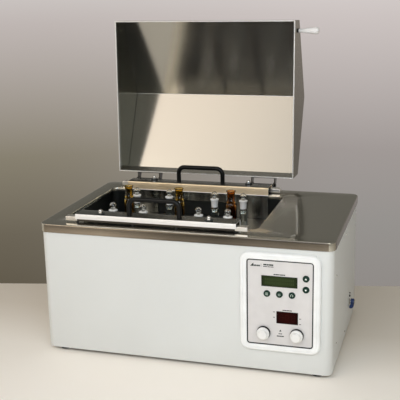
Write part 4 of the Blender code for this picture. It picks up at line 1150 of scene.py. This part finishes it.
def walls():
    """Shelf and windowed walls, folded from one sheet."""
    face = RAIL_INNER + 0.0018 + WALL_SHEET
    flange, bottom = RAIL_TOP - RACK_SHEET - GAP, span("rack_trough", "z")[0]
    half = [(face, bottom), (face, flange), (face + 0.016, flange)]
    path = filleted([(-u, v) for u, v in reversed(half)] + half, (0.0016, 0.0040, 0.0040, 0.0016))
    outline = [(RACK_Y + u, v) for u, v in sheet_outline(path, WALL_SHEET)]
    folded = extruded(outline, RAIL_LEFT + 0.0015, RAIL_RIGHT - 0.0015)
    obj = piece("rack_walls", folded, RACK_WALL_GRAIN_AND_SHADE, "rack", ["rack_trough"], bevel=0.0002)
    window = extruded(rounded(0.190, 0.104, 0.003, 5), RACK_Y - 0.2, RACK_Y + 0.2, "Y")
    cut(obj, moved(window, (RACK_X, 0, DECK_TOP - 0.073)))
    coat_faces(obj, RACK_FLOOR_PAINTED_SHADE, lambda shelf: abs(shelf.normal.z) > 0.6)


def hanger(side, sign):
    """Bar under the rail, painted near-black as the shade of the gap under the rail, with a tab at each end painted
    bright as a highlight, on four short studs.
    """
    low, tab, high = DECK_TOP + 0.0033, DECK_TOP + 0.012, RAIL_TOP - RACK_SHEET - GAP - 0.0016
    far, near = span("rack_trough", "x")[1] - RACK_X, RAIL_RIGHT - 0.003 - RACK_X
    ys = sorted((RACK_Y + sign * (RAIL_OUTER - 0.0180), RACK_Y + sign * (RAIL_OUTER - RACK_SHEET - GAP)))
    channel = box((RACK_X - near, ys[0], low), (RACK_X + near, ys[1], high))
    piece(f"hanger_{side}", channel, HANGER_PAINTED_SHADE, "rack", ["rack_trough"], bevel=0.0005)
    for end, xs in (("left", (-far, -near - 0.0001)), ("right", (near + 0.0001, far))):
        block = box((RACK_X + xs[0], ys[0], low), (RACK_X + xs[1], ys[1], tab))
        piece(f"hanger_{side}_{end}_tab", block, TAB_PAINTED_HIGHLIGHT, "rack", bevel=0.0012)
    profile = [(0, 0), (0.0024, 0), (0.003, 0.0005), (0.003, 0.0034), (0, 0.0034)]
    for i, offset in enumerate((-0.165, -0.046, 0.046, 0.165), start=1):
        point = Vector((RACK_X + offset, RACK_Y + sign * (RAIL_OUTER - 0.006), DECK_TOP + GAP))
        piece(f"stud_{side}_{i}", turned(profile, 24), RUBBER, "rack", place=point)


def handle(side):
    node = f"rack_handle_{side}"
    low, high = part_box(node)
    y = (low[1] + high[1]) / 2
    x0, x1 = low[0] + HANDLE_RADIUS, high[0] - HANDLE_RADIUS
    z0, z1 = low[2], high[2] - HANDLE_RADIUS
    path = filleted([(x0, z0), (x0, z1), (x1, z1), (x1, z0)], (HANDLE_BEND, HANDLE_BEND), 10)
    rod = swept([Vector((u, y, v)) for u, v in path], HANDLE_RADIUS, 32)
    piece(f"handle_{side}", rod, BLACK, "rack", [node], angle=50)


def acorn(name, point):
    washer = [(0.0026, 0.0001), (0.0076, 0.0001), (0.0079, 0.0006), (0.0079, 0.0018)]
    washer += [(0.0074, 0.0022), (0.0026, 0.0022)]
    piece(f"washer_{name}", turned(washer, ring=True), GASKET, "rack", place=point)
    tall, corner = 0.0038, 0.0046 / math.cos(math.radians(30))
    base = point + Vector((0, 0, 0.0023))
    angles = [math.radians(60 * i + 10) for i in range(6)]
    hexagon = [(corner * math.cos(a), corner * math.sin(a)) for a in angles]
    piece(f"nut_{name}", moved(extruded(hexagon, 0, tall, "Z"), base), BRIGHT, "rack", bevel=0.0004)
    dome = [(0.0044, tall - 0.0004)] + arc(0, tall, 0.0043, 0, 90, 8) + [(0, tall - 0.0004)]
    piece(f"nut_dome_{name}", moved(turned(dome), base), BRIGHT, "rack", angle=50)


def tube_plate():
    node = "tube_plate"
    low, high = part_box(node)
    obj = piece("tube_holder", box(low, high), TUBE_PLATE_PAINTED_SHADE, "rack", [node])
    holes = []
    for n in frame["nodes"]:
        if n.startswith(("tube_front", "tube_rear", "amber_tube")):
            hole = pin_shape(0.0117 if n.startswith("amber") else 0.0100, 0.01, 40)
            holes.append(moved(hole, (middle(n).x, middle(n).y, low[2])))
    cut(obj, joined(*holes))


def vessels():
    for n in sorted(frame["nodes"]):
        spot, low = middle(n), span(n, "z")[0]
        if n.startswith(("tube_front", "tube_rear")):
            stoppered_tube(n, Vector((spot.x, spot.y, low)), size(n, "z"))
        elif n.startswith("stopper_"):
            stopper(n, Vector((spot.x, spot.y, low + 0.026)))
        elif n.startswith("amber_tube"):
            amber_tube(n, Vector((spot.x, spot.y, low)), size(n, "z"))


def stoppered_tube(node, point, mouth):
    outer, inner = 0.0088, 0.0074
    profile = [(0, 0)] + arc(0.0028, 0.0060, 0.0060, -90, 0, 8)
    profile += [(outer, mouth - 0.0044)] + arc(outer - 0.0006, mouth - 0.0022, 0.0012, -60, 90, 8)
    profile += [(0.0072, mouth), (0.0069, mouth - 0.0006), (0.0064, mouth - 0.011), (inner, mouth - 0.015)]
    profile += [(inner, 0.0068)] + arc(0.0028, 0.0062, 0.0046, 0, -90, 8)[1:] + [(0, 0.0016)]
    piece(node + "_glass", turned(profile), CLEAR, "vessel_" + node.replace("tube_", ""), [node], point, angle=60)


def stopper(node, point):
    """A ground plug with a clear tip below and a hollow ball on top."""
    ball = 0.0125
    plug = [(0, -0.0150), (0.0068, -0.0150), (0.0078, -0.0006), (0.0086, 0.0004), (0.0094, 0.0014)]
    plug += [(0.0094, 0.0028), (0.0088, 0.0033), (0.0050, 0.0040), (0, 0.0040)]
    shell = [(0, 0.0041), (0.0038, 0.0042), (0.0034, 0.0054)]
    shell += arc(0, ball, 0.0072, -58, 90, 16)[:-1] + [(0, ball + 0.0072)]
    shapes = {
        "tip": ([(0, -0.0260), (0.0054, -0.0260), (0.0060, -0.0254), (0.0068, -0.0151), (0, -0.0151)], CLEAR),
        "plug": (plug, GROUND),
        "ball": (shell, CLEAR),
        "bubble": (arc(0, ball, 0.0056, 90, -90, 16), AIR),
    }
    body = "vessel_" + node.replace("stopper_", "")
    for part, (profile, look) in shapes.items():
        stands_for = [node] if part == "plug" else ()
        piece(f"{node}_{part}", turned(profile), look, body, stands_for, point, angle=60)


def amber_tube(node, point, top):
    outer, wall = 0.0104, 0.0016
    profile = [(0, 0)] + arc(outer - 0.007, 0.007, 0.007, -90, 0, 8)
    profile += [(outer, top - 0.0320)] + arc(outer - 0.0016, top - 0.0300, 0.0016, 0, 55, 4)
    neck = ((0.0091, 0.0262), (0.0093, 0.0245), (0.0093, 0.0215), (0.0090, 0.0200), (0.0084, 0.0185),
            (0.0082, 0.0150), (0.0082, 0.0080), (0.0086, 0.0040), (0.0095, 0.0016))
    bore = ((0.0082, 0.0004), (0.0074, 0.0040), (0.0067, 0.0080), (0.0066, 0.0200), (0.0074, 0.0290),
            (outer - wall, 0.0350))
    profile += [(radius, top - down) for radius, down in neck]
    profile += arc(0.0094, top - 0.0008, 0.0008, -60, 90, 5)
    profile += [(radius, top - down) for radius, down in bore]
    profile += [(outer - wall, 0.0080)] + arc(outer - 0.007, 0.0072, 0.0054, 0, -90, 8)[1:] + [(0, 0.0018)]
    look = AMBER_RED if node.endswith("3") else AMBER
    piece(node + "_glass", turned(profile), look, node.replace("_tube", ""), [node], point, angle=60)


# Everything behind the covers keeps its CAD shape and gets its own material


def inner_parts():
    looks = {
        "base_plate": PLAIN_STEEL,
        "drain_pipe": PLAIN_STEEL,
        "temperature_probe": PLAIN_STEEL,
        "heating_mat": SILICONE,
        "insulation_jacket": WOOL,
        "control_board": BOARD,
    }
    for node, look in looks.items():
        mesh = frame["nodes"][node].data
        mesh.materials.clear()
        mesh.materials.append(look)


# Stage


# Colours of the room at heights of the direction, from -1 straight down to 1 straight up
WALL_LEFT = (
    (-0.36, (0.105, 0.088, 0.060)),
    (-0.28, (0.150, 0.130, 0.095)),
    (-0.196, (0.242, 0.216, 0.162)),
    (-0.045, (0.520, 0.470, 0.450)),
    (-0.012, (0.600, 0.560, 0.540)),
    (0.03, (0.420, 0.390, 0.370)),
    (0.10, (0.160, 0.155, 0.135)),
    (0.60, (0.150, 0.145, 0.130)),
    (1.0, (0.300, 0.290, 0.270)),
)
WALL_RIGHT = (
    (-0.36, (0.275, 0.255, 0.240)),
    (-0.28, (0.300, 0.285, 0.270)),
    (-0.196, (0.352, 0.319, 0.305)),
    (-0.045, (0.600, 0.545, 0.530)),
    (-0.012, (0.660, 0.610, 0.595)),
    (0.03, (0.450, 0.420, 0.400)),
    (0.10, (0.180, 0.172, 0.150)),
    (0.60, (0.160, 0.155, 0.140)),
    (1.0, (0.300, 0.290, 0.270)),
)
ROOM_LEFT = ((-1.0, (0.62, 0.57, 0.51)), (0.4, (0.72, 0.67, 0.60)), (1.0, (0.42, 0.40, 0.37)))
ROOM_RIGHT = ((-1.0, (0.22, 0.20, 0.17)), (1.0, (0.25, 0.24, 0.22)))
ROOM_FRONT = (
    (-1.0, (0.30, 0.28, 0.26)),
    (0.0, (0.31, 0.315, 0.31)),
    (0.60, (0.31, 0.315, 0.31)),
    (0.70, (0.36, 0.39, 0.36)),
    (0.85, (0.20, 0.20, 0.19)),
    (1.0, (0.30, 0.29, 0.27)),
)
TABLE_FAR_SHADE, TABLE_NEAR_LIGHT = (0.84, 0.77, 0.67), (0.99, 0.945, 0.87)


def stage():
    """The table: its far edge is straight and turned a little, and it is painted lighter towards the front, a painted
    pool of light.
    """
    bm = bmesh.new()
    reach, near_y, far_y = 2.4, -2.2, 0.217
    corners = [(-reach, near_y, 0), (reach, near_y, 0), (reach, far_y, 0), (-reach, far_y, 0)]
    turn = Matrix.Rotation(math.radians(12.2), 4, "Z")
    bm.faces.new([bm.verts.new(turn @ Vector(corner)) for corner in corners])
    mesh = bpy.data.meshes.new("table_top")
    bm.to_mesh(mesh)
    bm.free()
    look = Look(bpy.data.materials.new("pale_table"))
    look.set(Roughness=0.75)
    # Painted light: the table's colour runs from shaded far to lit near
    nearer = look.ranged(look.coordinate("Y"), 0.10, -0.42)
    look.tint(look.scaled(look.noise(2.0, 2.0), 0.15, nearer), TABLE_FAR_SHADE, TABLE_NEAR_LIGHT)
    mesh.materials.append(look.owner)
    table = linked("table_top", mesh)


def world():
    """A room that is bright and warm in front, dim behind and to the right."""
    room = Look(bpy.data.worlds.new("room"))
    bpy.context.scene.world = room.owner
    height = room.ranged(room.coordinate("Z", "Generated"), -1.0, 1.0)

    def share(axis, low, high):
        """0 at the low coordinate of the direction, 1 at the high one."""
        result = room.ranged(room.coordinate(axis, "Generated"), low, high)
        result.node.interpolation_type = "SMOOTHSTEP"
        return result

    def by_height(stops):
        return room.ramp(height, [((z + 1) / 2, tone) for z, tone in stops])

    behind = room.mixed(by_height(WALL_LEFT), by_height(WALL_RIGHT), share("X", -0.50, -0.10))
    sides = room.mixed(by_height(ROOM_LEFT), by_height(ROOM_RIGHT), share("X", -0.5, 0.5))
    around = room.mixed(sides, behind, share("Y", 0.25, 0.60))
    everywhere = room.mixed(around, by_height(ROOM_FRONT), share("Y", -0.15, -0.65))
    room.links.new(everywhere, room.nodes["Background"].inputs["Color"])


# Soft lamps: place, point they face, width, height, power in watts, and colour
LAMPS = {
    "window": ((-0.86, -2.02, 1.79), (-0.07, 0.15, 0.40), 2.9, 1.1, 15.7, (1.0, 0.85, 0.725)),
    "front_lamp": ((0.25, -1.45, 0.95), (0.1, -0.45, 0.0), 0.9, 0.6, 5.6, (0.60, 0.76, 1.0)),
    "right_lamp": ((0.80, -1.20, 0.85), (0.22, -0.50, 0.0), 0.9, 0.6, 4.9, (1.0, 0.96, 0.87)),
    "left_lamp": ((-0.55, -1.25, 0.95), (-0.1, -0.45, 0.0), 0.9, 0.6, 2.2, (1.0, 0.90, 0.76)),
}


def lights():
    for name, (location, target, width, height, power, colour) in LAMPS.items():
        data = bpy.data.lights.new(name, "AREA")
        data.shape = "RECTANGLE"
        data.size, data.size_y = width, height
        data.energy, data.color = power, colour
        light = linked(name, data)
        light.location = location
        light.rotation_euler = (Vector(target) - Vector(location)).to_track_quat("-Z", "Y").to_euler()


def camera():
    data = bpy.data.cameras.new("camera")
    data.sensor_width = 36.0
    data.lens = 76.58
    data.shift_x, data.shift_y = -0.0119, -0.0125
    data.clip_start = 0.05
    obj = linked("camera", data)
    yaw, pitch, roll = 0.2896, 0.2495, -0.0197
    obj.matrix_world = (
        Matrix.Translation(DECK_MIDDLE + Vector((0.49656, -1.67854, 0.47463)))
        @ Matrix.Rotation(yaw, 4, "Z")
        @ Matrix.Rotation(math.radians(90) - pitch, 4, "X")
        @ Matrix.Rotation(roll, 4, "Z")
    )
    bpy.context.scene.camera = obj


def main():
    camera()
    cabinet_shell()
    deck_plate()
    tank_shell()
    feet()
    cabinet_screws()
    mains_inlet()
    bezel()
    panel_face()
    panel_print()
    displays()
    buttons()
    knobs()
    drain()
    lid()
    lid_grip()
    hinges()
    rack()
    tube_plate()
    vessels()
    inner_parts()
    stage()
    world()
    lights()
    bpy.context.scene.view_settings.view_transform = "Standard"


main()
